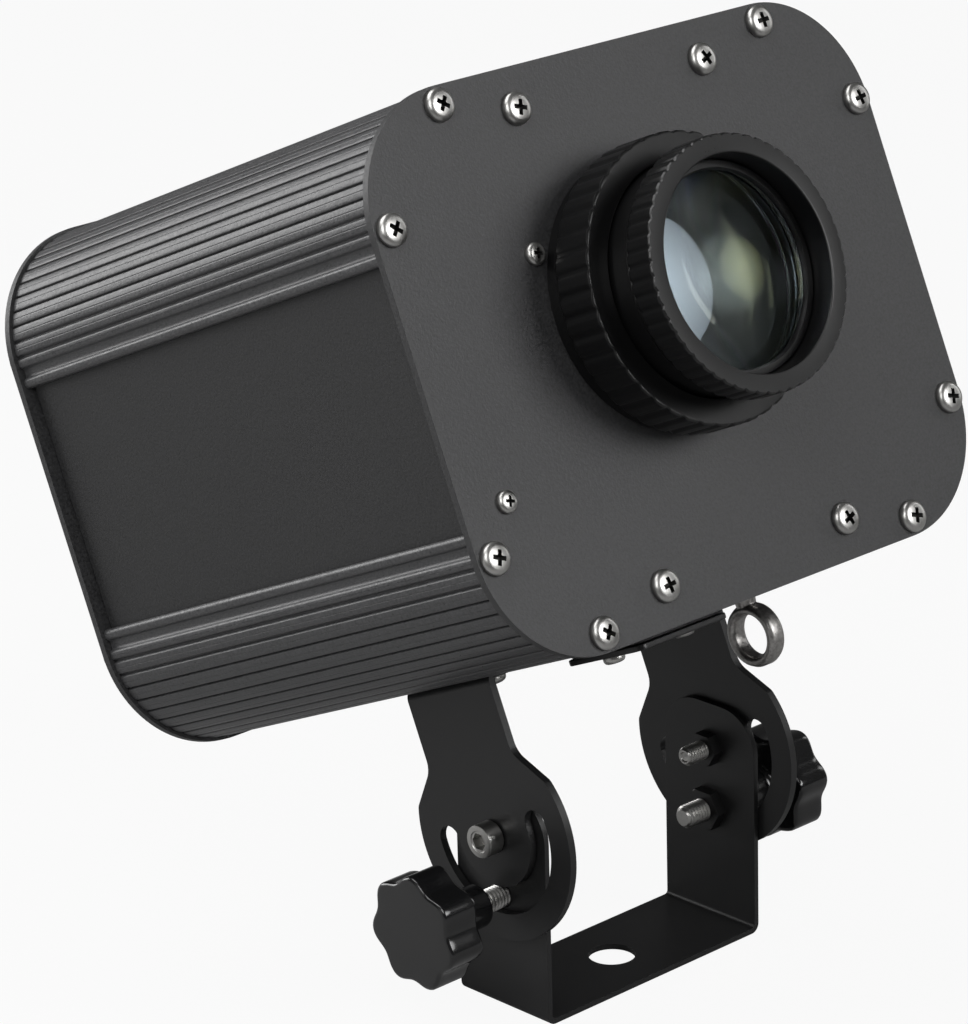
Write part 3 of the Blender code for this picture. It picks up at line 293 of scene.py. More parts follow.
# Pivot screws. M5 socket-head cap screws, bright nickel-plated, that hold the ears of the hanger to
# the yoke's arms. Each runs through a welded nut, and its thread stands out inside.
def turn_on_axis(name, profile, steps):
    """Turns a (radius, height) profile round the z axis, ring by ring, from its first point to its last."""
    r, z = profile[0]
    bpy.ops.mesh.primitive_circle_add(vertices=steps, radius=max(r, 1e-5), location=(0, 0, z))
    thing = name_piece(name)
    switch_to("EDIT")
    bpy.ops.mesh.select_all(action="SELECT")
    for next_r, next_z in profile[1:]:
        bpy.ops.mesh.extrude_edges_move(TRANSFORM_OT_translate={"value": (0, 0, next_z - z)})
        ratio = max(next_r, 1e-5) / max(r, 1e-5)
        bpy.ops.transform.resize(value=(ratio, ratio, 1), center_override=(0, 0, next_z))
        r, z = next_r, next_z
    bpy.ops.mesh.select_all(action="SELECT")
    bpy.ops.mesh.remove_doubles(threshold=1.5e-5)
    mend_normals()
    switch_to("OBJECT")
    return thing


def lay(thing, place=(0, 0, 0), turn=(0, 0, 0)):
    """Turns and moves a finished piece, and puts the place into its mesh."""
    pick(thing)
    thing.rotation_euler = turn
    thing.location = place
    bpy.ops.object.transform_apply(location=True, rotation=True, scale=True)
    return thing


def thread_profile(radius, start, end, pitch=0.001):
    """Rings of a thread, four to a turn, from one height to another."""
    root = radius - pitch * 0.5
    step = pitch if end > start else -pitch
    rings = []
    for i in range(int(abs(end - start) / pitch)):
        rings += [(root, start + (i + 0.12) * step), (radius, start + (i + 0.45) * step),
                  (radius, start + (i + 0.58) * step), (root, start + (i + 0.92) * step)]
    return rings


X_OUT = {"right": (0, math.pi / 2, 0), "left": (0, -math.pi / 2, 0)}
TIP = 0.027
SEAT = 0.0403
HEAD_TOP = SEAT + 0.0047
pivot_profile = [(0, TIP + 0.0006), (0.0011, TIP + 0.0004), (0.0014, TIP), (0.0018, TIP),
                 (0.0021, TIP + 0.0003)]
pivot_profile += thread_profile(0.0025, TIP + 0.0005, SEAT - 0.0008, 0.0008)
pivot_profile += [(0.0024, SEAT - 0.0004), (0.0024, SEAT), (0.0040, SEAT), (0.00425, SEAT + 0.0003),
                  (0.00425, SEAT + 0.0041), (0.0041, SEAT + 0.0046), (0.0038, HEAD_TOP), (0.0028, HEAD_TOP),
                  (0.0026, HEAD_TOP - 0.0002), (0, HEAD_TOP - 0.0002)]
pivot_screws = []
for side, out in X_OUT.items():
    screw = turn_on_axis(side + "_pivot_cap_screw", pivot_profile, 48)
    combine(screw, rod("socket", 0.0023, 0.0054, (0, 0, HEAD_TOP - 0.0002), sides=6))
    smooth(lay(screw, (0, 0, PIVOT_HEIGHT), out), 30)
    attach(screw, "yoke")
    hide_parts(side + "_pivot_screw")
    pivot_screws.append(screw)


def metal(name, color, roughness, speckle=0.15, grain=0.0012, bump=0.05):
    """Bare or plated metal: the same grain, faint, on a metallic surface."""
    return coated(name, color, grain, speckle, 0.2, roughness, bump, metallic=1.0)


bright_nickel = metal("bright_nickel", (0.46, 0.455, 0.44), 0.34)
dress(bright_nickel, *pivot_screws)


# Clamp studs. M6 threaded studs, bright nickel-plated, moulded into the knobs. They run through the
# slots of the hanger into the lower welded nuts; the left one is a few turns out, as photographed.
NECK_END = {"left": 0.0455, "right": 0.0432}
for side, out in X_OUT.items():
    end = NECK_END[side]
    tip = end - 0.017
    head = end + 0.0135
    profile = [(0, tip), (0.0021, tip), (0.0025, tip + 0.0004)]
    profile += thread_profile(0.0030, tip + 0.0006, end - 0.0022)
    profile += [(0.0029, end - 0.0020), (0.0029, head), (0, head)]
    stud = smooth(lay(turn_on_axis(side + "_clamp_stud", profile, 48), (0, 0, CLAMP_HEIGHT), out), 30)
    dress(bright_nickel, stud)
    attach(stud, side + "_stud")
    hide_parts(side + "_stud")


# Clamp knobs. Seven-lobed knobs of glossy black plastic, moulded with a neck round their studs. They
# press the ears of the hanger against the yoke's arms.
LOBES = 7
LOBE_COLUMNS = 16
LOBE_DEPTH = 0.00095


def wave_wall(thing, count, columns, swing, inside):
    """Moves the columns of a wall turned about z in and out, to lobes or flutes; swing gives each phase's
    shift, and only what lies further out than inside moves."""
    pick(thing)
    switch_to("EDIT")
    for phase in range(columns):
        shift = swing(phase / columns)
        if abs(shift) < 1e-7:
            continue
        step = 2 * math.pi / (count * columns)
        choose(thing, "VERT", lambda p: math.hypot(p.x, p.y) > inside
               and round(math.atan2(p.y, p.x) / step) % columns == phase)
        mesh = bmesh.from_edit_mesh(thing.data)
        radius = max(math.hypot(v.co.x, v.co.y) for v in mesh.verts if v.select)
        ratio = 1 + shift / radius
        bpy.ops.transform.resize(value=(ratio, ratio, 1), center_override=(0, 0, 0))
    switch_to("OBJECT")
    return thing


knob_profile = [(0, 0.0140), (0.0031, 0.0140), (0.0031, 0), (0.0048, 0), (0.0053, 0.0003), (0.0055, 0.0008),
                (0.0057, 0.0092), (0.0061, 0.0105), (0.0070, 0.0113), (0.0088, 0.0117), (0.0121, 0.0118),
                (0.0129, 0.0119), (0.0135, 0.0123), (0.0137, 0.0130), (0.0137, 0.0150), (0.0137, 0.0200),
                (0.0137, 0.0216), (0.0135, 0.0221), (0.0131, 0.0224), (0.0126, 0.0225), (0.0080, 0.02255),
                (0, 0.0226)]


def copy_of(thing, name):
    """A copy of a piece with its own mesh."""
    other = thing.copy()
    other.data = thing.data.copy()
    other.name = name
    other.data.name = name
    bpy.context.collection.objects.link(other)
    return other


left_knob = turn_on_axis("left_clamp_knob", knob_profile, LOBES * LOBE_COLUMNS)
wave_wall(left_knob, LOBES, LOBE_COLUMNS, lambda t: LOBE_DEPTH * math.cos(2 * math.pi * t), 0.0115)
smooth(left_knob, 40)
right_knob = copy_of(left_knob, "right_clamp_knob")
glossy_plastic = coated("glossy_knob_plastic", (0.006, 0.006, 0.0064), grain=0.0022, speckle=0.05, cloud=0.12,
                        roughness=0.17, bump=0.03, coat=0.3)
for side, knob, x in (("left", left_knob, -NECK_END["left"]), ("right", right_knob, NECK_END["right"])):
    lay(knob, (x, 0, CLAMP_HEIGHT), X_OUT[side])
    dress(glossy_plastic, knob)
    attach(knob, side + "_knob")
    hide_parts(side + "_knob")


# Hanger. A strip of 2 mm steel sheet folded into an inverted U under the housing, powder-coated
# satin black. Each ear widens to a disc round the pivot, with an arc slot for the clamp stud.
TILT = math.radians(-23.5)
HANGER_SHEET = 0.002
HANGER_BEND = 0.003
EAR_OUTSIDE = 0.040
DISC_RADIUS = 0.0267
DISC_TOP = 0.0103
HALF_WIDTH = 0.016
WEB_TOP = 0.0395
WEB_HOLES = {"left": -0.026, "right": 0.026}
SLOT_RADIUS = 0.0165
SLOT_WIDTH = 0.007
SLOT_START = math.radians(176.3)
SLOT_END = math.radians(363.7)
ACROSS = 0.12
bpy.ops.mesh.primitive_circle_add(vertices=128, radius=DISC_RADIUS, location=(EAR_OUTSIDE, 0, 0),
                                  rotation=(0, math.pi / 2, 0))
hanger = name_piece("hanger_sheet")
switch_to("EDIT")
choose(hanger, "VERT", lambda p: p.z > DISC_TOP)
bpy.ops.mesh.delete(type="VERT")
for side in (1, -1):
    top = max(v.co.z for v in bmesh.from_edit_mesh(hanger.data).verts if side * v.co.y > 0)
    choose(hanger, "VERT", lambda p: side * p.y > 0 and p.z > top - 1e-6)
    here = next(v.co.copy() for v in bmesh.from_edit_mesh(hanger.data).verts if v.select)
    for y, z in ((0.0243, 0.0108), (HALF_WIDTH, 0.0189), (HALF_WIDTH, WEB_TOP)):
        there = Vector((EAR_OUTSIDE, side * y, z))
        bpy.ops.mesh.extrude_vertices_move(TRANSFORM_OT_translate={"value": there - here})
        here = there
choose(hanger, "VERT", lambda p: p.z > WEB_TOP - 1e-5)
bpy.ops.mesh.edge_face_add()
bpy.ops.mesh.select_all(action="SELECT")
bpy.ops.mesh.edge_face_add()
choose(hanger, "EDGE", lambda p: p.z > WEB_TOP - 1e-5)
bpy.ops.mesh.extrude_edges_move(TRANSFORM_OT_translate={"value": (-EAR_OUTSIDE, 0, 0)})
switch_to("OBJECT")
use(hanger, "MIRROR", use_axis=(True, False, False), merge_threshold=1e-5)
switch_to("EDIT")
mend_normals()
choose(hanger, "VERT", lambda p: p.z < WEB_TOP / 2 and abs(abs(p.y) - HALF_WIDTH) < 0.0005)
bpy.ops.mesh.bevel(offset=0.0022, segments=4, affect="VERTICES")
switch_to("OBJECT")
for side in (1, -1):
    round_edges(hanger, HANGER_BEND, 6,
                lambda p: side * p.x > EAR_OUTSIDE - 0.0001 and p.z > WEB_TOP - 0.0001)
fold_thickness(hanger, HANGER_SHEET, (0, 0, WEB_TOP / 2))
bpy.ops.mesh.primitive_plane_add(size=1)
slot = name_piece("slot_tool")
slot.scale = (ACROSS, SLOT_WIDTH, 1)
lay(slot, (0, SLOT_RADIUS, 0))
lay(slot, turn=(SLOT_START, 0, 0))
switch_to("EDIT")
bpy.ops.mesh.select_all(action="SELECT")
bpy.ops.mesh.spin(steps=48, angle=SLOT_START - SLOT_END, center=(0, 0, 0), axis=(1, 0, 0))
mend_normals()
switch_to("OBJECT")
combine(hanger, slot)
for angle in (SLOT_START, SLOT_END):
    place = (0, SLOT_RADIUS * math.cos(angle), SLOT_RADIUS * math.sin(angle))
    combine(hanger, rod("slot_end", SLOT_WIDTH / 2, ACROSS, place, "x", 40))
combine(hanger, rod("pivot_hole", 0.0028, ACROSS, (0, 0, 0), "x"))
for x in WEB_HOLES.values():
    combine(hanger, rod("web_hole", 0.0022, 0.01, (x, 0, WEB_TOP)))
soften(hanger, 0.0003)
lay(hanger, (0, 0, PIVOT_HEIGHT), (TILT, 0, 0))
dress(satin_black, hanger)
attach(hanger, "head")
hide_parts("hanger")


# Screws of the hanger. Two M4 pan-head screws, nickel-plated, run up through the web into the housing,
# with washers under their heads. The head with its tapered cross recess is copied for the plates.
WASHER = 0.0006
WEB_UNDER = WEB_TOP - HANGER_SHEET - 0.0007
RECESS_REACH = 0.70
recess_dark = metal("recess_shadow", (0.035, 0.034, 0.033), 0.6)


def block(name, size, place):
    """A box whose middle is at the place."""
    bpy.ops.mesh.primitive_cube_add(size=1, location=place, scale=size)
    return name_piece(name)


def pan_screw(name, radius, height, shank, length):
    """A pan-head screw that stands on z = 0, with a cross recess and a plain shank below."""
    profile = [(0, -length), (shank * 0.8, -length), (shank, -length + 0.0004), (shank, -0.0001)]
    profile += [(radius * 0.97, -0.0001), (radius, 0.0001), (radius, height * 0.36),
                (radius * 0.97, height * 0.58), (radius * 0.86, height * 0.80), (radius * 0.68, height * 0.92),
                (radius * 0.42, height * 0.98), (0, height)]
    screw = turn_on_axis(name, profile, 48)
    for turn in (0, math.pi / 2):
        arm = block("cross_arm", (radius * 1.34, radius * 0.33, height * 1.4), (0, 0, height))
        switch_to("EDIT")
        choose(arm, "VERT", lambda p: p.z < height)
        bpy.ops.transform.resize(value=(0.45, 0.7, 1), center_override=(0, 0, 0))
        switch_to("OBJECT")
        combine(screw, lay(arm, turn=(0, 0, turn)))
    smooth(screw, 32)
    screw.data.materials.append(bright_nickel)
    screw.data.materials.append(recess_dark)
    for face in screw.data.polygons:
        reach = math.hypot(face.center.x, face.center.y)
        if reach < radius * RECESS_REACH and 0 < face.center.z < height * 0.86:
            face.material_index = 1
    return screw


m4_screw = pan_screw("m4_screw", 0.0040, 0.0023, 0.0020, 0.010)
washer_profile = [(0.0022, 0), (0.0045, 0), (0.0045, WASHER), (0.0022, WASHER), (0.0022, 0)]
for side, x in WEB_HOLES.items():
    screw = copy_of(m4_screw, side + "_hanger_pan_screw")
    lay(screw, (x, 0, WEB_UNDER), (math.pi, 0, 0.4))
    washer = turn_on_axis(side + "_hanger_washer", washer_profile, 48)
    lay(washer, (x, 0, WEB_UNDER))
    dress(bright_nickel, washer)
    for part in (screw, washer):
        lay(part, (0, 0, PIVOT_HEIGHT), (TILT, 0, 0))
        smooth(part, 32)
        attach(part, "head")
    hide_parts(side + "_hanger_screw")


# Shells. Two aluminium extrusions, top and bottom, ribbed lengthwise and coated dark grey. Each ends
# in a rounded lip, with a groove behind it that holds the side panels.
SHELL_WIDTH = 0.1634
SHELL_HEIGHT = 0.1334
SHELL_CORNER = 0.0292
SHELL_FRONT = 0.0023
SHELL_REAR = 0.1472
PANEL_SLOT_IN = 0.0780
PANEL_SLOT_OUT = 0.0800
PANEL_SLOT_TOP = 0.0344
LIP_END = 0.0314
LIP_RADIUS = 0.0012
FIRST_GROOVE = 0.0356
RIBS = 51
GROOVE_DEPTH = 0.0009
GROOVE_FLOOR = 0.00008
END_GROOVE = 0.0015
CROWN = 0.00013
WALL = 0.0027
COVER_X = -0.0062
COVER_Y = 0.0387
LAMP_PLACE = Vector((0, -0.076, 0.1065))
LAMP_PLACE.rotate(Euler((TILT, 0, 0)))
LAMP_PLACE.z += PIVOT_HEIGHT


def seat_on_lamp(thing):
    """Places a piece made upright about the front plate's centre where the tilted lamp has it."""
    return lay(thing, LAMP_PLACE, (TILT, 0, 0))


ARC_X = SHELL_WIDTH / 2 - SHELL_CORNER
ARC_Z = SHELL_HEIGHT / 2 - SHELL_CORNER
OUTSIDE = 2 * (ARC_Z - FIRST_GROOVE) + math.pi * SHELL_CORNER + SHELL_WIDTH - 2 * SHELL_CORNER


def along_shell(s):
    """Point and outward direction at a distance along the outside, from the first groove to the last."""
    if s > OUTSIDE / 2:
        place, out = along_shell(OUTSIDE - s)
        return Vector((-place.x, place.y)), Vector((-out.x, out.y))
    straight = ARC_Z - FIRST_GROOVE
    if s < straight:
        return Vector((SHELL_WIDTH / 2, FIRST_GROOVE + s)), Vector((1, 0))
    turn = (s - straight) / SHELL_CORNER
    if turn < math.pi / 2:
        out = Vector((math.cos(turn), math.sin(turn)))
        return Vector((ARC_X, ARC_Z)) + SHELL_CORNER * out, out
    return Vector((ARC_X - (s - straight - SHELL_CORNER * math.pi / 2), SHELL_HEIGHT / 2)), Vector((0, 1))


def arc(x, z, radius, first, last, step):
    """Points of an arc in the section, between two angles in degrees."""
    return [(x + radius * math.cos(math.radians(a)), z + radius * math.sin(math.radians(a)))
            for a in range(first, last, step)]


def groove_half(i):
    """Half the width of a groove: the first and last are broad, and the ones beside them are wider."""
    return {0: END_GROOVE, 1: 0.00055, 2: 0.00045}.get(min(i, RIBS - i), 0.00033)


# The half section from the panel's slot round the lip to the first, broad groove. Then each rib is
# slightly crowned, with a fine line along its middle, and each groove between is a narrow V.
outline = [(0.0765, LIP_END + 0.0005), (0.0770, LIP_END), (PANEL_SLOT_IN - 0.0003, LIP_END),
           (PANEL_SLOT_IN, LIP_END + 0.0003), (PANEL_SLOT_IN, PANEL_SLOT_TOP),
           (PANEL_SLOT_OUT, PANEL_SLOT_TOP), (PANEL_SLOT_OUT, LIP_END + 0.0003),
           (PANEL_SLOT_OUT + 0.0002, LIP_END)]
outline += arc(0.0805, LIP_END + LIP_RADIUS, LIP_RADIUS, -90, 1, 15)
outline += arc(0.0806, 0.0331, LIP_RADIUS - 0.0001, 15, 76, 15)
outline += [(0.08065, 0.03445), (0.0806, 0.0350), (0.0806, 0.0358), (0.08068, 0.0363), (0.0810, 0.0367),
            (0.0814, 0.0369)]
half_outline = len(outline)
HALF_RIB = [(0, 1.6), (0.07, 0.8), (0.2, 0.4), (0.4, 0.06), (0.47, 0.05)]
RIB_PROFILE = HALF_RIB + [(0.5, 0.6)] + [(1 - u, dip) for u, dip in reversed(HALF_RIB)]
pitch = OUTSIDE / RIBS
for i in range(RIBS):
    start = i * pitch + groove_half(i)
    end = (i + 1) * pitch - groove_half(i + 1)
    for u, dip in RIB_PROFILE:
        place, out = along_shell(start + u * (end - start))
        outline.append(tuple(place - dip * CROWN * out))
    if i < RIBS - 1:
        for side in (-1, 1):
            place, out = along_shell((i + 1) * pitch + side * GROOVE_FLOOR)
            outline.append(tuple(place - GROOVE_DEPTH * out))
outline += [(-x, z) for x, z in reversed(outline[:half_outline])]
inner = [(0.0765, 0.0364), (0.0790, 0.0366)] + arc(ARC_X, ARC_Z, SHELL_CORNER - WALL, 0, 91, 5)
outline += [(-x, z) for x, z in inner] + list(reversed(inner))
section = bpy.data.curves.new("top_ribbed_shell", "CURVE")
section.dimensions = "2D"
section.fill_mode = "BOTH"
section.extrude = (SHELL_REAR - SHELL_FRONT) / 2
spline = section.splines.new("POLY")
spline.points.add(len(outline) - 1)
for point, (x, z) in zip(spline.points, outline):
    point.co = (x, z, 0, 1)
spline.use_cyclic_u = True
shell = bpy.data.objects.new("top_ribbed_shell", section)
bpy.context.collection.objects.link(shell)
pick(shell)
bpy.ops.object.convert(target="MESH")
switch_to("EDIT")
bpy.ops.mesh.select_all(action="SELECT")
bpy.ops.mesh.remove_doubles(threshold=1e-6)
mend_normals()
switch_to("OBJECT")
lay(shell, (0, (SHELL_REAR + SHELL_FRONT) / 2, 0), (math.pi / 2, 0, 0))
lower = copy_of(shell, "bottom_ribbed_shell")
lay(lower, turn=(0, math.pi, 0))
combine(lower, block("cover_hole", (0.0250, 0.0217, 0.02), (COVER_X, COVER_Y, -SHELL_HEIGHT / 2)))
ribbed_coat = coated("ribbed_coat", (0.052, 0.052, 0.054), grain=0.0007, speckle=1.0, cloud=0.10,
                     roughness=0.38, bump=0.7)
for name, part in (("top_shell", shell), ("bottom_shell", lower)):
    seat_on_lamp(part)
    smooth(part, 40)
    dress(ribbed_coat, part)
    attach(part, "head")
    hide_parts(name)


# Side panels. Two flat sheets of 1.4 mm aluminium, coated like the shells, held in the grooves behind
# their lips and between the end plates.
PANEL_SIZE = (0.0014, 0.1440, 0.0682)
PANEL_X = (PANEL_SLOT_IN + PANEL_SLOT_OUT) / 2
PANEL_Y = 0.0743
# The panels' colour is darker than the shells' coat: the difference is painted shade on the sides of the
# housing.
panel_coat_painted_shade = coated("panel_coat_painted_shade", (0.018, 0.018, 0.0188), grain=0.0007, speckle=1.2, cloud=0.10,
                    roughness=0.58, bump=0.7)
for side, x in (("left", -PANEL_X), ("right", PANEL_X)):
    panel = block(side + "_flat_panel", PANEL_SIZE, (x, PANEL_Y, 0))
    soften(panel, 0.0003)
    seat_on_lamp(panel)
    smooth(panel)
    dress(panel_coat_painted_shade, panel)
    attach(panel, "head")
    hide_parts(side + "_panel")


# End plates. Two plates of 2 mm aluminium with wide round corners, powder-coated dark grey. The front
# one has the hole of the lens, the rear one the hole of the gland.
PLATE_WIDTH = 0.165
PLATE_HEIGHT = 0.135
PLATE_CORNER = 0.030
PLATE_SHEET = 0.002
REAR_FACE = 0.1495
M4_HOLE = 0.0022
M3_HOLE = 0.0017
LENS_HOLE = 0.0313
GLAND_HOLE = 0.0083
PLATE_SCREWS = [(sx * x, sz * z) for x, z in ((0.0532, 0.06285), (0.0777, 0.0385), (0.0310, 0.0576))
                for sx in (-1, 1) for sz in (-1, 1)]
MOTOR_SCREWS = [(-0.0389, 0.0243), (-0.0694, -0.0273)]
LENS_X = -0.0062
LENS_Z = 0.0077
GLAND_X = -0.045
GLAND_Z = -0.036
plate_coat = coated("plate_coat", (0.032, 0.032, 0.0332), grain=0.0007, speckle=1.0, cloud=0.05,
                    roughness=0.5, bump=0.7)


def round_along(thing, axis, radius, segments):
    """Rounds the edges that run along one axis: 0, 1 or 2."""
    pick(thing)
    switch_to("EDIT")
    bpy.ops.mesh.select_mode(type="EDGE")
    bpy.ops.mesh.select_all(action="DESELECT")
    mesh = bmesh.from_edit_mesh(thing.data)
    for edge in mesh.edges:
        run = edge.verts[0].co - edge.verts[1].co
        edge.select_set(abs(run[axis]) > 0.0001 and run.length - abs(run[axis]) < 1e-7)
    bmesh.update_edit_mesh(thing.data)
    bpy.ops.mesh.bevel(offset=radius, segments=segments, affect="EDGES")
    switch_to("OBJECT")
    return thing


for name, y in (("front", PLATE_SHEET / 2), ("rear", REAR_FACE - PLATE_SHEET / 2)):
    plate = block(name + "_end_plate", (PLATE_WIDTH, PLATE_SHEET, PLATE_HEIGHT), (0, y, 0))
    round_along(plate, 1, PLATE_CORNER, 28)
    drills = [rod("drill", M4_HOLE, 0.01, (x, y, z), "y", 24) for x, z in PLATE_SCREWS]
    if name == "front":
        drills += [rod("drill", M3_HOLE, 0.01, (x, y, z), "y", 24) for x, z in MOTOR_SCREWS]
        drills.append(rod("drill", LENS_HOLE, 0.01, (LENS_X, y, LENS_Z), "y", 128))
    else:
        drills.append(rod("drill", GLAND_HOLE, 0.01, (GLAND_X, y, GLAND_Z), "y", 64))
    combine(plate, join(*drills))
    soften(plate, 0.0003, angle=40)
    seat_on_lamp(plate)
    smooth(plate)
    dress(plate_coat, plate)
    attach(plate, "head")
    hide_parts(name + "_plate")


# Screws of the end plates. Twelve M4 pan-head screws in each plate, nickel-plated. The front ones are
# turned as the photograph shows them. The rear ones are only here: the CAD part leaves them out.
SCREW_TURNS = [0.96, 0.96, 1.27, 0.04, 1.20, 0.90, 1.29, 0.15, 0.09, 1.27, 0.35, 0.41]


def set_screw(screw, name, x, y, z, spin, facing):
    """Turns a screw that stands on z = 0 to face forwards (1) or backwards (-1), and seats it on the lamp."""
    part = copy_of(screw, name)
    lay(part, turn=(0, 0, spin))
    lay(part, (x, y, z), (facing * math.pi / 2, 0, 0))
    seat_on_lamp(part)
    smooth(part, 32)
    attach(part, "head")
    return part


for i, (x, z) in enumerate(PLATE_SCREWS):
    screw = set_screw(m4_screw, "front_pan_screw_%02d" % (i + 1), x, 0, z, SCREW_TURNS[i], 1)
    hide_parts("front_screw_%02d" % (i + 1))
    set_screw(m4_screw, "rear_pan_screw_%02d" % (i + 1), x, REAR_FACE, z, SCREW_TURNS[-1 - i], -1)


# Motor screws. Two M3 pan-head screws, nickel-plated like the others, through the front plate into the
# spacers of the gear motor.
MOTOR_SCREW_TURN = 1.28
m3_screw = pan_screw("m3_screw", 0.00275, 0.0019, 0.0015, 0.006)
for i, (x, z) in enumerate(MOTOR_SCREWS):
    screw = set_screw(m3_screw, "motor_pan_screw_%d" % (i + 1), x, 0, z, MOTOR_SCREW_TURN, 1)
    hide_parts("motor_screw_%d" % (i + 1))


# Service cover. A small steel plate under the housing on a rubber gasket, held by two screws. It is
# the way in to the colour wheel.
COVER_SCREW_X = 0.012
COVER_FACE = -0.0723
rubber = coated("black_rubber", (0.012, 0.012, 0.012), grain=0.0004, speckle=0.2, cloud=0.15,
                roughness=0.7, bump=0.1)
for name, width, depth, thick, z, material, node in (
        ("service_cover_plate", 0.0310, 0.0277, 0.0015, -0.07155, satin_black, "service_cover"),
        ("service_cover_gasket", 0.0298, 0.0265, 0.0038, -0.0687, rubber, "service_gasket")):
    cover = block(name, (width, depth, thick), (COVER_X, COVER_Y, z))
    round_along(cover, 2, 0.0025, 6)
    soften(cover, 0.0003)
    seat_on_lamp(cover)
    smooth(cover)
    dress(material, cover)
    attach(cover, "head")
    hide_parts(node)
for name, side in (("left", -1), ("right", 1)):
    part = copy_of(m3_screw, "cover_pan_screw_" + name)
    lay(part, (COVER_X + side * COVER_SCREW_X, COVER_Y, COVER_FACE), (math.pi, 0, 0.4 * side))
    seat_on_lamp(part)
    smooth(part, 32)
    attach(part, "head")
bpy.data.objects.remove(m3_screw, do_unlink=True)
bpy.data.objects.remove(m4_screw, do_unlink=True)


# Safety eye. A steel ring cast in one with a collar and a threaded stem, zinc-plated, and screwed into
# the bottom shell. A safety rope hooks into it.
EYE_X, EYE_Y, EYE_Z = 0.024, 0.034, -0.0795
ring_profile = [(0.0053, 0.0013), (0.0053, -0.0013), (0.0057, -0.0021), (0.0062, -0.0025), (0.0070, -0.0025),
                (0.0076, -0.0021), (0.0080, -0.0012), (0.0080, 0.0012), (0.0076, 0.0021), (0.0070, 0.0025),
                (0.0062, 0.0025), (0.0057, 0.0021), (0.0053, 0.0013)]
eye = turn_on_axis("safety_eye_ring", ring_profile, 96)
lay(eye, (EYE_X, EYE_Y, EYE_Z), (0, math.pi / 2, 0))
stem_profile = [(0, -0.0585), (0.0025, -0.0585), (0.0025, -0.0662), (0.0048, -0.0663), (0.0048, -0.0682),
                (0.0045, -0.0686), (0.0033, -0.0694), (0.0027, -0.0706), (0.0025, -0.0722), (0, -0.0726)]
stem = turn_on_axis("safety_eye_stem", stem_profile, 48)
combine(eye, lay(stem, (EYE_X, EYE_Y, 0)), "UNION")
cast_zinc = metal("cast_zinc", (0.34, 0.33, 0.32), 0.34, speckle=0.75, grain=0.0009, bump=0.35)
seat_on_lamp(eye)
smooth(eye, 50)
dress(cast_zinc, eye)
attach(eye, "head")
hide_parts("safety_eye")


# Gland. A cable gland of black nylon in the rear plate: a six-sided body, and a ribbed cap over a
# rubber seal. It is empty, because the supply cord is not part of the object.
GLAND_FACE = 0.1498
NUT_HEIGHT = 0.0050
THREAD = 0.0076
TUBE_INSIDE = 0.0041
GLAND_BORE = 0.0040
SEAL_OUTSIDE = 0.0069
CAP_RIBS = 20
RIB_COLUMNS = 6
nylon = coated("black_nylon", (0.016, 0.016, 0.016), grain=0.0006, speckle=0.15, cloud=0.1,
               roughness=0.42, bump=0.05)


def on_gland(thing):
    """Lays a piece turned about z, with z = 0 just off the rear plate, backwards through the plate."""
    lay(thing, (GLAND_X, GLAND_FACE, GLAND_Z), (-math.pi / 2, 0, 0))
    return seat_on_lamp(thing)


gland = rod("gland_hexagon", 0.0108, NUT_HEIGHT, (0, 0, NUT_HEIGHT / 2), sides=6)
rounding = rod("gland_rounding", 0.0103, NUT_HEIGHT, (0, 0, NUT_HEIGHT / 2), sides=64)
round_edges(rounding, 0.0012, 3, lambda p: p.z > NUT_HEIGHT / 2)
combine(gland, rounding, "INTERSECT")
tube_profile = [(THREAD, 0.0010), (THREAD, -0.0021)] + thread_profile(THREAD, -0.0022, -0.0115, 0.0015)
tube_profile += [(0.0070, -0.0120), (TUBE_INSIDE, -0.0120), (TUBE_INSIDE, 0.0119),
                 (SEAL_OUTSIDE, 0.0119), (SEAL_OUTSIDE, 0.0010), (THREAD, 0.0010)]
combine(gland, turn_on_axis("gland_tube", tube_profile, 64), "UNION")
combine(gland, rod("gland_bore", GLAND_BORE, 0.04))
cap_profile = [(0.0073, 0.0053), (0.0099, 0.0053), (0.0103, 0.0057), (0.0103, 0.0136), (0.0100, 0.0146),
               (0.0092, 0.0158), (0.0080, 0.0172), (0.0068, 0.0183), (0.0060, 0.0187), (0.0048, 0.0188),
               (0.0045, 0.0186), (0.0045, 0.0146), (0.0073, 0.0138), (0.0073, 0.0053)]
cap = turn_on_axis("gland_ribbed_cap", cap_profile, CAP_RIBS * RIB_COLUMNS)
wave_wall(cap, CAP_RIBS, RIB_COLUMNS, lambda t: -0.0007 * max(0.0, math.cos(2 * math.pi * t)), 0.0098)
seal_profile = [(TUBE_INSIDE, 0.0122), (SEAL_OUTSIDE, 0.0122), (SEAL_OUTSIDE, 0.0134), (0.0044, 0.0144),
                (0.0044, 0.0184), (TUBE_INSIDE, 0.0182), (TUBE_INSIDE, 0.0122)]
seal = turn_on_axis("gland_seal", seal_profile, 48)
for part, material, node in ((gland, nylon, "gland_body"), (cap, nylon, "gland_cap"), (seal, rubber, None)):
    smooth(on_gland(part), 40)
    dress(material, part)
    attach(part, "head")
    if node:
        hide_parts(node)


# Lens metal. A focusing lens turned in black anodised aluminium: a flanged mount in the front plate, a
# fluted lock ring on it, and a barrel with a fluted grip, which a thin ring closes round the front lens.
LOCK_FLUTES = 44
GRIP_FLUTES = 56
FLUTE_COLUMNS = 8
anodised = coated("black_anodised", (0.003, 0.003, 0.0032), grain=0.0005, speckle=0.12, cloud=0.12,
                  roughness=0.30, bump=0.05)


def on_lens(thing):
    """Lays a piece turned about z, with z = 0 at the plate's face, along the lens's axis."""
    lay(thing, (LENS_X, 0, LENS_Z), (math.pi / 2, 0, 0))
    return seat_on_lamp(thing)


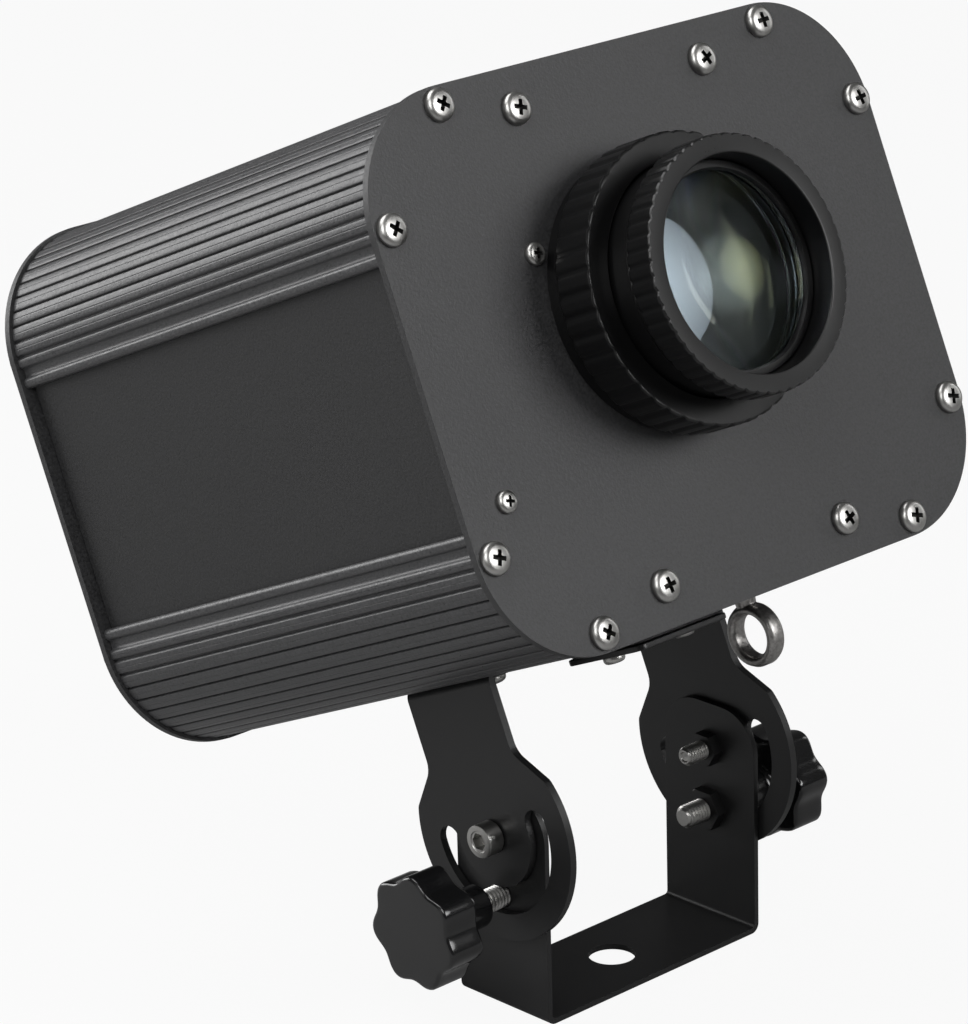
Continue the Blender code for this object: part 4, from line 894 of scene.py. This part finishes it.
def cut_flutes(thing, count, depth, inside):
    """Cuts round flutes into a turned wall."""
    return wave_wall(thing, count, FLUTE_COLUMNS,
                     lambda t: -depth * max(0.0, math.cos(2 * math.pi * t)) ** 1.5, inside)


mount_profile = [(0.0283, -0.0056), (0.0310, -0.0056), (0.0310, 0.0003), (0.0327, 0.0003), (0.0330, 0.0006),
                 (0.0330, 0.0047), (0.0327, 0.0050), (0.0310, 0.0050), (0.0310, 0.0157), (0.0283, 0.0157),
                 (0.0283, -0.0056)]
mount = turn_on_axis("lens_mount_tube", mount_profile, 96)
smooth(on_lens(mount), 35)
lock_profile = [(0.0313, 0.0054), (0.0344, 0.0054), (0.0349, 0.0058), (0.0351, 0.0064), (0.0351, 0.0164),
                (0.0350, 0.0168), (0.0347, 0.0170), (0.0343, 0.0171), (0.0290, 0.0171), (0.0286, 0.0169),
                (0.0285, 0.0166), (0.0285, 0.0160), (0.0313, 0.0160), (0.0313, 0.0054)]
lock = turn_on_axis("fluted_lock_ring", lock_profile, LOCK_FLUTES * FLUTE_COLUMNS)
smooth(on_lens(cut_flutes(lock, LOCK_FLUTES, 0.00055, 0.0345)), 40)
barrel_profile = [(0.0260, 0.0040), (0.0280, 0.0040), (0.0280, 0.0215), (0.0282, 0.0217), (0.0286, 0.0219),
                  (0.0286, 0.0231), (0.0282, 0.0233), (0.0280, 0.0235), (0.0281, 0.0252), (0.0302, 0.0255),
                  (0.0305, 0.0258), (0.0306, 0.0262), (0.0306, 0.0328), (0.0305, 0.0331), (0.0302, 0.0334),
                  (0.0298, 0.0334), (0.0262, 0.0334), (0.0259, 0.0332), (0.0258, 0.0329), (0.0258, 0.0272),
                  (0.0260, 0.0270), (0.0260, 0.0040)]
barrel = turn_on_axis("focusing_barrel", barrel_profile, GRIP_FLUTES * FLUTE_COLUMNS)
smooth(on_lens(cut_flutes(barrel, GRIP_FLUTES, 0.0004, 0.0300)), 40)
retainer_profile = [(0.0235, 0.0257), (0.0254, 0.0250), (0.0256, 0.0252), (0.0256, 0.0269), (0.0254, 0.0270),
                    (0.0239, 0.0270), (0.0235, 0.0262), (0.0235, 0.0257)]
retainer = turn_on_axis("lens_retainer_ring", retainer_profile, 96)
smooth(on_lens(retainer), 35)
dress(anodised, mount, lock, barrel, retainer)
for part, body, node in ((mount, "head", "lens_mount"), (lock, "lock_ring", "lock_ring"),
                         (barrel, "focus_barrel", "focus_barrel"), (retainer, "lens_cell", "lens_retainer")):
    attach(part, body)
    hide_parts(node)


# Lens glass. Two coated lenses in the barrel, flat behind and domed in front: a clear front one and a
# slightly hazed rear one. Each has a coating of one tint in front and of another behind.
LENS_RADIUS = 0.0257
FRONT_LENS_BACK = 0.0148
REAR_LENS_BACK = 0.0050
DOME_STEPS = 24


def lens_profile(back, flat, edge, dome, curve):
    """The half section of a lens: a flat back, a rim, and a dome of a radius of curvature."""
    depth = curve - math.sqrt(curve ** 2 - dome ** 2)
    profile = [(0, back), (flat, back), (LENS_RADIUS, back + 0.0004), (LENS_RADIUS, edge - 0.0004),
               (LENS_RADIUS - 0.0003, edge)]
    for i in range(DOME_STEPS + 1):
        r = dome * (1 - i / DOME_STEPS)
        profile.append((r, edge + (depth - (curve - math.sqrt(curve ** 2 - r ** 2)))))
    return profile


def glass_of(name, tint, roughness=0.0, ior=1.52, shine=(1, 1, 1), haze=0.0):
    """Glass with faint clouds in its tint, as a coating has. The shine tints what it reflects, and the
    haze is a rough film over it."""
    material = bpy.data.materials.new(name)
    material.use_nodes = True
    nodes, links = material.node_tree.nodes, material.node_tree.links
    shader = nodes["Principled BSDF"]
    shader.inputs["Roughness"].default_value = roughness
    shader.inputs["IOR"].default_value = ior
    shader.inputs["Specular Tint"].default_value = (*shine, 1)
    shader.inputs["Coat Weight"].default_value = haze
    shader.inputs["Coat Roughness"].default_value = 0.5
    shader.inputs["Transmission Weight"].default_value = 1.0
    place = nodes.new("ShaderNodeTexCoord")
    cloud = nodes.new("ShaderNodeTexNoise")
    cloud.inputs["Scale"].default_value = 60.0
    links.new(place.outputs["Object"], cloud.inputs["Vector"])
    ramp = nodes.new("ShaderNodeMix")
    ramp.data_type = "RGBA"
    ramp.inputs["A"].default_value = (*tint, 1)
    ramp.inputs["B"].default_value = (*(min(1.0, c * 1.04) for c in tint), 1)
    links.new(cloud.outputs["Fac"], ramp.inputs["Factor"])
    links.new(ramp.outputs["Result"], shader.inputs["Base Color"])
    return material


COATED = 1.60
FRONT_TINT = (0.88, 0.94, 1.0)
REAR_TINT = (0.95, 0.98, 0.95)
REAR_BLUR = 0.14
front_profile = lens_profile(FRONT_LENS_BACK, 0.0250, 0.0246, 0.0240, 0.110)
rear_profile = lens_profile(REAR_LENS_BACK, 0.0252, 0.0095, 0.0250, 0.090)
front_glass = turn_on_axis("front_lens_glass", front_profile, 96)
rear_glass = turn_on_axis("rear_lens_glass", rear_profile, 96)
front_coating = glass_of("front_lens_glass", FRONT_TINT, 0.0, COATED, (0.72, 0.88, 1.0))
front_back = glass_of("coated_lens_back", FRONT_TINT, 0.0, COATED, (0.24, 0.25, 0.10))
rear_coating = glass_of("rear_lens_glass", REAR_TINT, REAR_BLUR, COATED, (0.32, 0.31, 0.10), 0.9)
rear_back = glass_of("rear_lens_back", REAR_TINT, REAR_BLUR, COATED, (0.42, 0.46, 0.38))
for part, front, back, height, node in (
        (front_glass, front_coating, front_back, FRONT_LENS_BACK, "front_lens"),
        (rear_glass, rear_coating, rear_back, REAR_LENS_BACK, "rear_lens")):
    behind = [face.index for face in part.data.polygons if face.center.z < height + 0.0001]
    pick(on_lens(part))
    bpy.ops.object.shade_smooth_by_angle(angle=math.radians(30))
    dress(front, part)
    part.data.materials.append(back)
    for index in behind:
        part.data.polygons[index].material_index = 1
    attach(part, "lens_cell")
    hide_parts(node)


# Works inside. The gear motor, the colour wheel with its filters, the optics and the electronics are
# the CAD part's own solids; each gets the material that the real piece has.
BOARD_FACE = -0.0582
CONTROL_FACE = -0.1355
FILTER_TINTS = {"red": (0.80, 0.03, 0.02), "amber": (0.92, 0.42, 0.03), "green": (0.05, 0.62, 0.10),
                "cyan": (0.05, 0.62, 0.78), "blue": (0.03, 0.08, 0.78), "magenta": (0.78, 0.05, 0.52)}
lens_point = LAMP_PLACE + Matrix.Rotation(TILT, 3, "X") @ Vector((LENS_X, 0, LENS_Z))
lens_way = Vector((0, -math.cos(TILT), -math.sin(TILT)))


def cad_material(node, material):
    """Gives a CAD node that is shown as it is its material."""
    dress(material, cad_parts[node])


aluminium = metal("milled_aluminium", (0.60, 0.61, 0.62), 0.32, speckle=0.35, grain=0.0016, bump=0.08)
black_frame = coated("frame_black", (0.016, 0.016, 0.017), grain=0.0005, speckle=0.25, cloud=0.15,
                     roughness=0.55, bump=0.06)
white_nylon = coated("white_nylon", (0.55, 0.54, 0.50), grain=0.0008, speckle=0.08, cloud=0.08,
                     roughness=0.45, bump=0.04)
for node in ("gear_motor", "colour_wheel", "gate_ring", "heat_sink", "driver_box"):
    cad_material(node, aluminium)
for node in ("motor_pinion", "wheel_hub", "wheel_spindle"):
    cad_material(node, white_nylon)
for node in ("optics_frame", "condenser_holder"):
    cad_material(node, black_frame)
for color, tint in FILTER_TINTS.items():
    cad_material("filter_" + color, glass_of("filter_glass_" + color, tint, 0.02))
cad_material("condenser_lens", glass_of("condenser_glass", (0.96, 0.98, 0.98)))


def board_material(name, mask_color, part_color, split):
    """A printed board: one colour up to a place along the lens's axis, another for what stands on it."""
    material = coated(name, mask_color, grain=0.0009, speckle=0.25, cloud=0.15, roughness=0.4, bump=0.05)
    nodes, links = material.node_tree.nodes, material.node_tree.links
    place = nodes.new("ShaderNodeTexCoord")
    away = nodes.new("ShaderNodeVectorMath")
    away.operation = "SUBTRACT"
    away.inputs[1].default_value = lens_point
    links.new(place.outputs["Object"], away.inputs[0])
    along = nodes.new("ShaderNodeVectorMath")
    along.operation = "DOT_PRODUCT"
    along.inputs[1].default_value = lens_way
    links.new(away.outputs["Vector"], along.inputs[0])
    above = nodes.new("ShaderNodeMath")
    above.operation = "GREATER_THAN"
    above.inputs[1].default_value = split
    links.new(along.outputs["Value"], above.inputs[0])
    mix = nodes.new("ShaderNodeMix")
    mix.data_type = "RGBA"
    mix.inputs["B"].default_value = (*part_color, 1)
    links.new(above.outputs["Value"], mix.inputs["Factor"])
    grain = next(node for node in nodes if node.type == "GROUP")
    links.new(grain.outputs["Color"], mix.inputs["A"])
    links.new(mix.outputs["Result"], nodes["Principled BSDF"].inputs["Base Color"])
    return material


led_board = board_material("led_board_white", (0.62, 0.62, 0.60), (0.75, 0.60, 0.08), BOARD_FACE)
control_board = board_material("control_board_green", (0.02, 0.13, 0.05), (0.03, 0.03, 0.035), CONTROL_FACE)
cad_material("led_board", led_board)
cad_material("control_board", control_board)


# Stage. A pale floor and a pale room, as in a product photograph. To the camera both are near white;
# to everything else the floor is grey, so that it doesn't wash out the black coats.
FLOOR_GREY = 0.38
FLOOR_GLOW = 0.93
ROOM_GLOW = 0.10
bpy.ops.mesh.primitive_plane_add(size=6, location=(0, 0, -0.0005))
floor = name_piece("floor")
white = bpy.data.materials.new("stage_white")
white.use_nodes = True
nodes, links = white.node_tree.nodes, white.node_tree.links
nodes["Principled BSDF"].inputs["Base Color"].default_value = (FLOOR_GREY, FLOOR_GREY, FLOOR_GREY, 1)
nodes["Principled BSDF"].inputs["Roughness"].default_value = 0.9
glow = nodes.new("ShaderNodeEmission")
path = nodes.new("ShaderNodeLightPath")
share = nodes.new("ShaderNodeMath")
share.operation = "MULTIPLY"
share.inputs[1].default_value = FLOOR_GLOW
mix = nodes.new("ShaderNodeMixShader")
links.new(path.outputs["Is Camera Ray"], share.inputs[0])
links.new(share.outputs["Value"], mix.inputs["Fac"])
links.new(nodes["Principled BSDF"].outputs["BSDF"], mix.inputs[1])
links.new(glow.outputs["Emission"], mix.inputs[2])
links.new(mix.outputs["Shader"], nodes["Material Output"].inputs["Surface"])
dress(white, floor)
world = bpy.data.worlds.new("pale_room")
bpy.context.scene.world = world
world.use_nodes = True
nodes, links = world.node_tree.nodes, world.node_tree.links
room = nodes["Background"]
room.inputs["Color"].default_value = (1, 1, 1, 1)
room.inputs["Strength"].default_value = ROOM_GLOW
seen = nodes.new("ShaderNodeBackground")
seen.inputs["Color"].default_value = (1, 1, 1, 1)
path = nodes.new("ShaderNodeLightPath")
mix = nodes.new("ShaderNodeMixShader")
links.new(path.outputs["Is Camera Ray"], mix.inputs["Fac"])
links.new(room.outputs["Background"], mix.inputs[1])
links.new(seen.outputs["Background"], mix.inputs[2])
links.new(mix.outputs["Shader"], nodes["World Output"].inputs["Surface"])
bpy.context.scene.view_settings.view_transform = "Standard"


# Lights. Soft boxes and cards round the lamp. The disc and the strip stand in front of the lens, which
# shows them as the soft patches that the photograph has on its glass.
MIDDLE = Vector((0, 0.02, 0.12))
LENS_MOUTH = Vector((-0.0062, -0.0548, 0.1954))


def soft_box(name, target, way, size, power):
    """A rectangular area light that stands off from a target point and faces it."""
    light = bpy.data.lights.new(name, "AREA")
    light.shape = "RECTANGLE"
    light.size, light.size_y = size
    light.energy = power
    lamp = bpy.data.objects.new(name, light)
    bpy.context.collection.objects.link(lamp)
    lamp.location = target + way
    lamp.rotation_euler = (-way).to_track_quat("-Z", "Y").to_euler()
    return light


soft_box("key_box", MIDDLE, 0.85 * Vector((-0.66, -0.45, 0.60)), (0.45, 0.45), 2.6)
soft_box("top_box", MIDDLE, Vector((-0.25, 0.33, 1.08)), (1.1, 0.8), 9)
soft_box("left_box", MIDDLE, Vector((-1.2, 0.08, 0.08)), (0.5, 0.9), 0.8)
soft_box("back_card", MIDDLE, 2.1 * Vector((-0.34, 0.91, 0.24)), (1.3, 1.1), 22)
disc = soft_box("front_disc", LENS_MOUTH, 1.25 * Vector((0.336, -0.852, 0.402)), (0.76, 0.76), 0.85)
disc.shape = "DISK"
disc.spread = math.radians(46)
soft_box("strip_box", LENS_MOUTH, 1.2 * Vector((0.93, -0.26, 0.24)), (0.16, 0.8), 1.2)


# Camera. Its place, angle and focal length were found by fitting the housing, the lens and the yoke to
# the photograph.
lens = bpy.data.cameras.new("photo_camera")
lens.lens = 155.33
lens.sensor_width = 36
camera = bpy.data.objects.new("photo_camera", lens)
bpy.context.collection.objects.link(camera)
right = Vector((0.72148, -0.69197, -0.02566))
up = Vector((0.25001, 0.22575, 0.94157))
back = Vector((-0.64573, -0.68574, 0.33587))
camera.matrix_world = Matrix((right, up, back)).transposed().to_4x4()
camera.location = (-0.7157, -0.7174, 0.4821)
bpy.context.scene.camera = camera
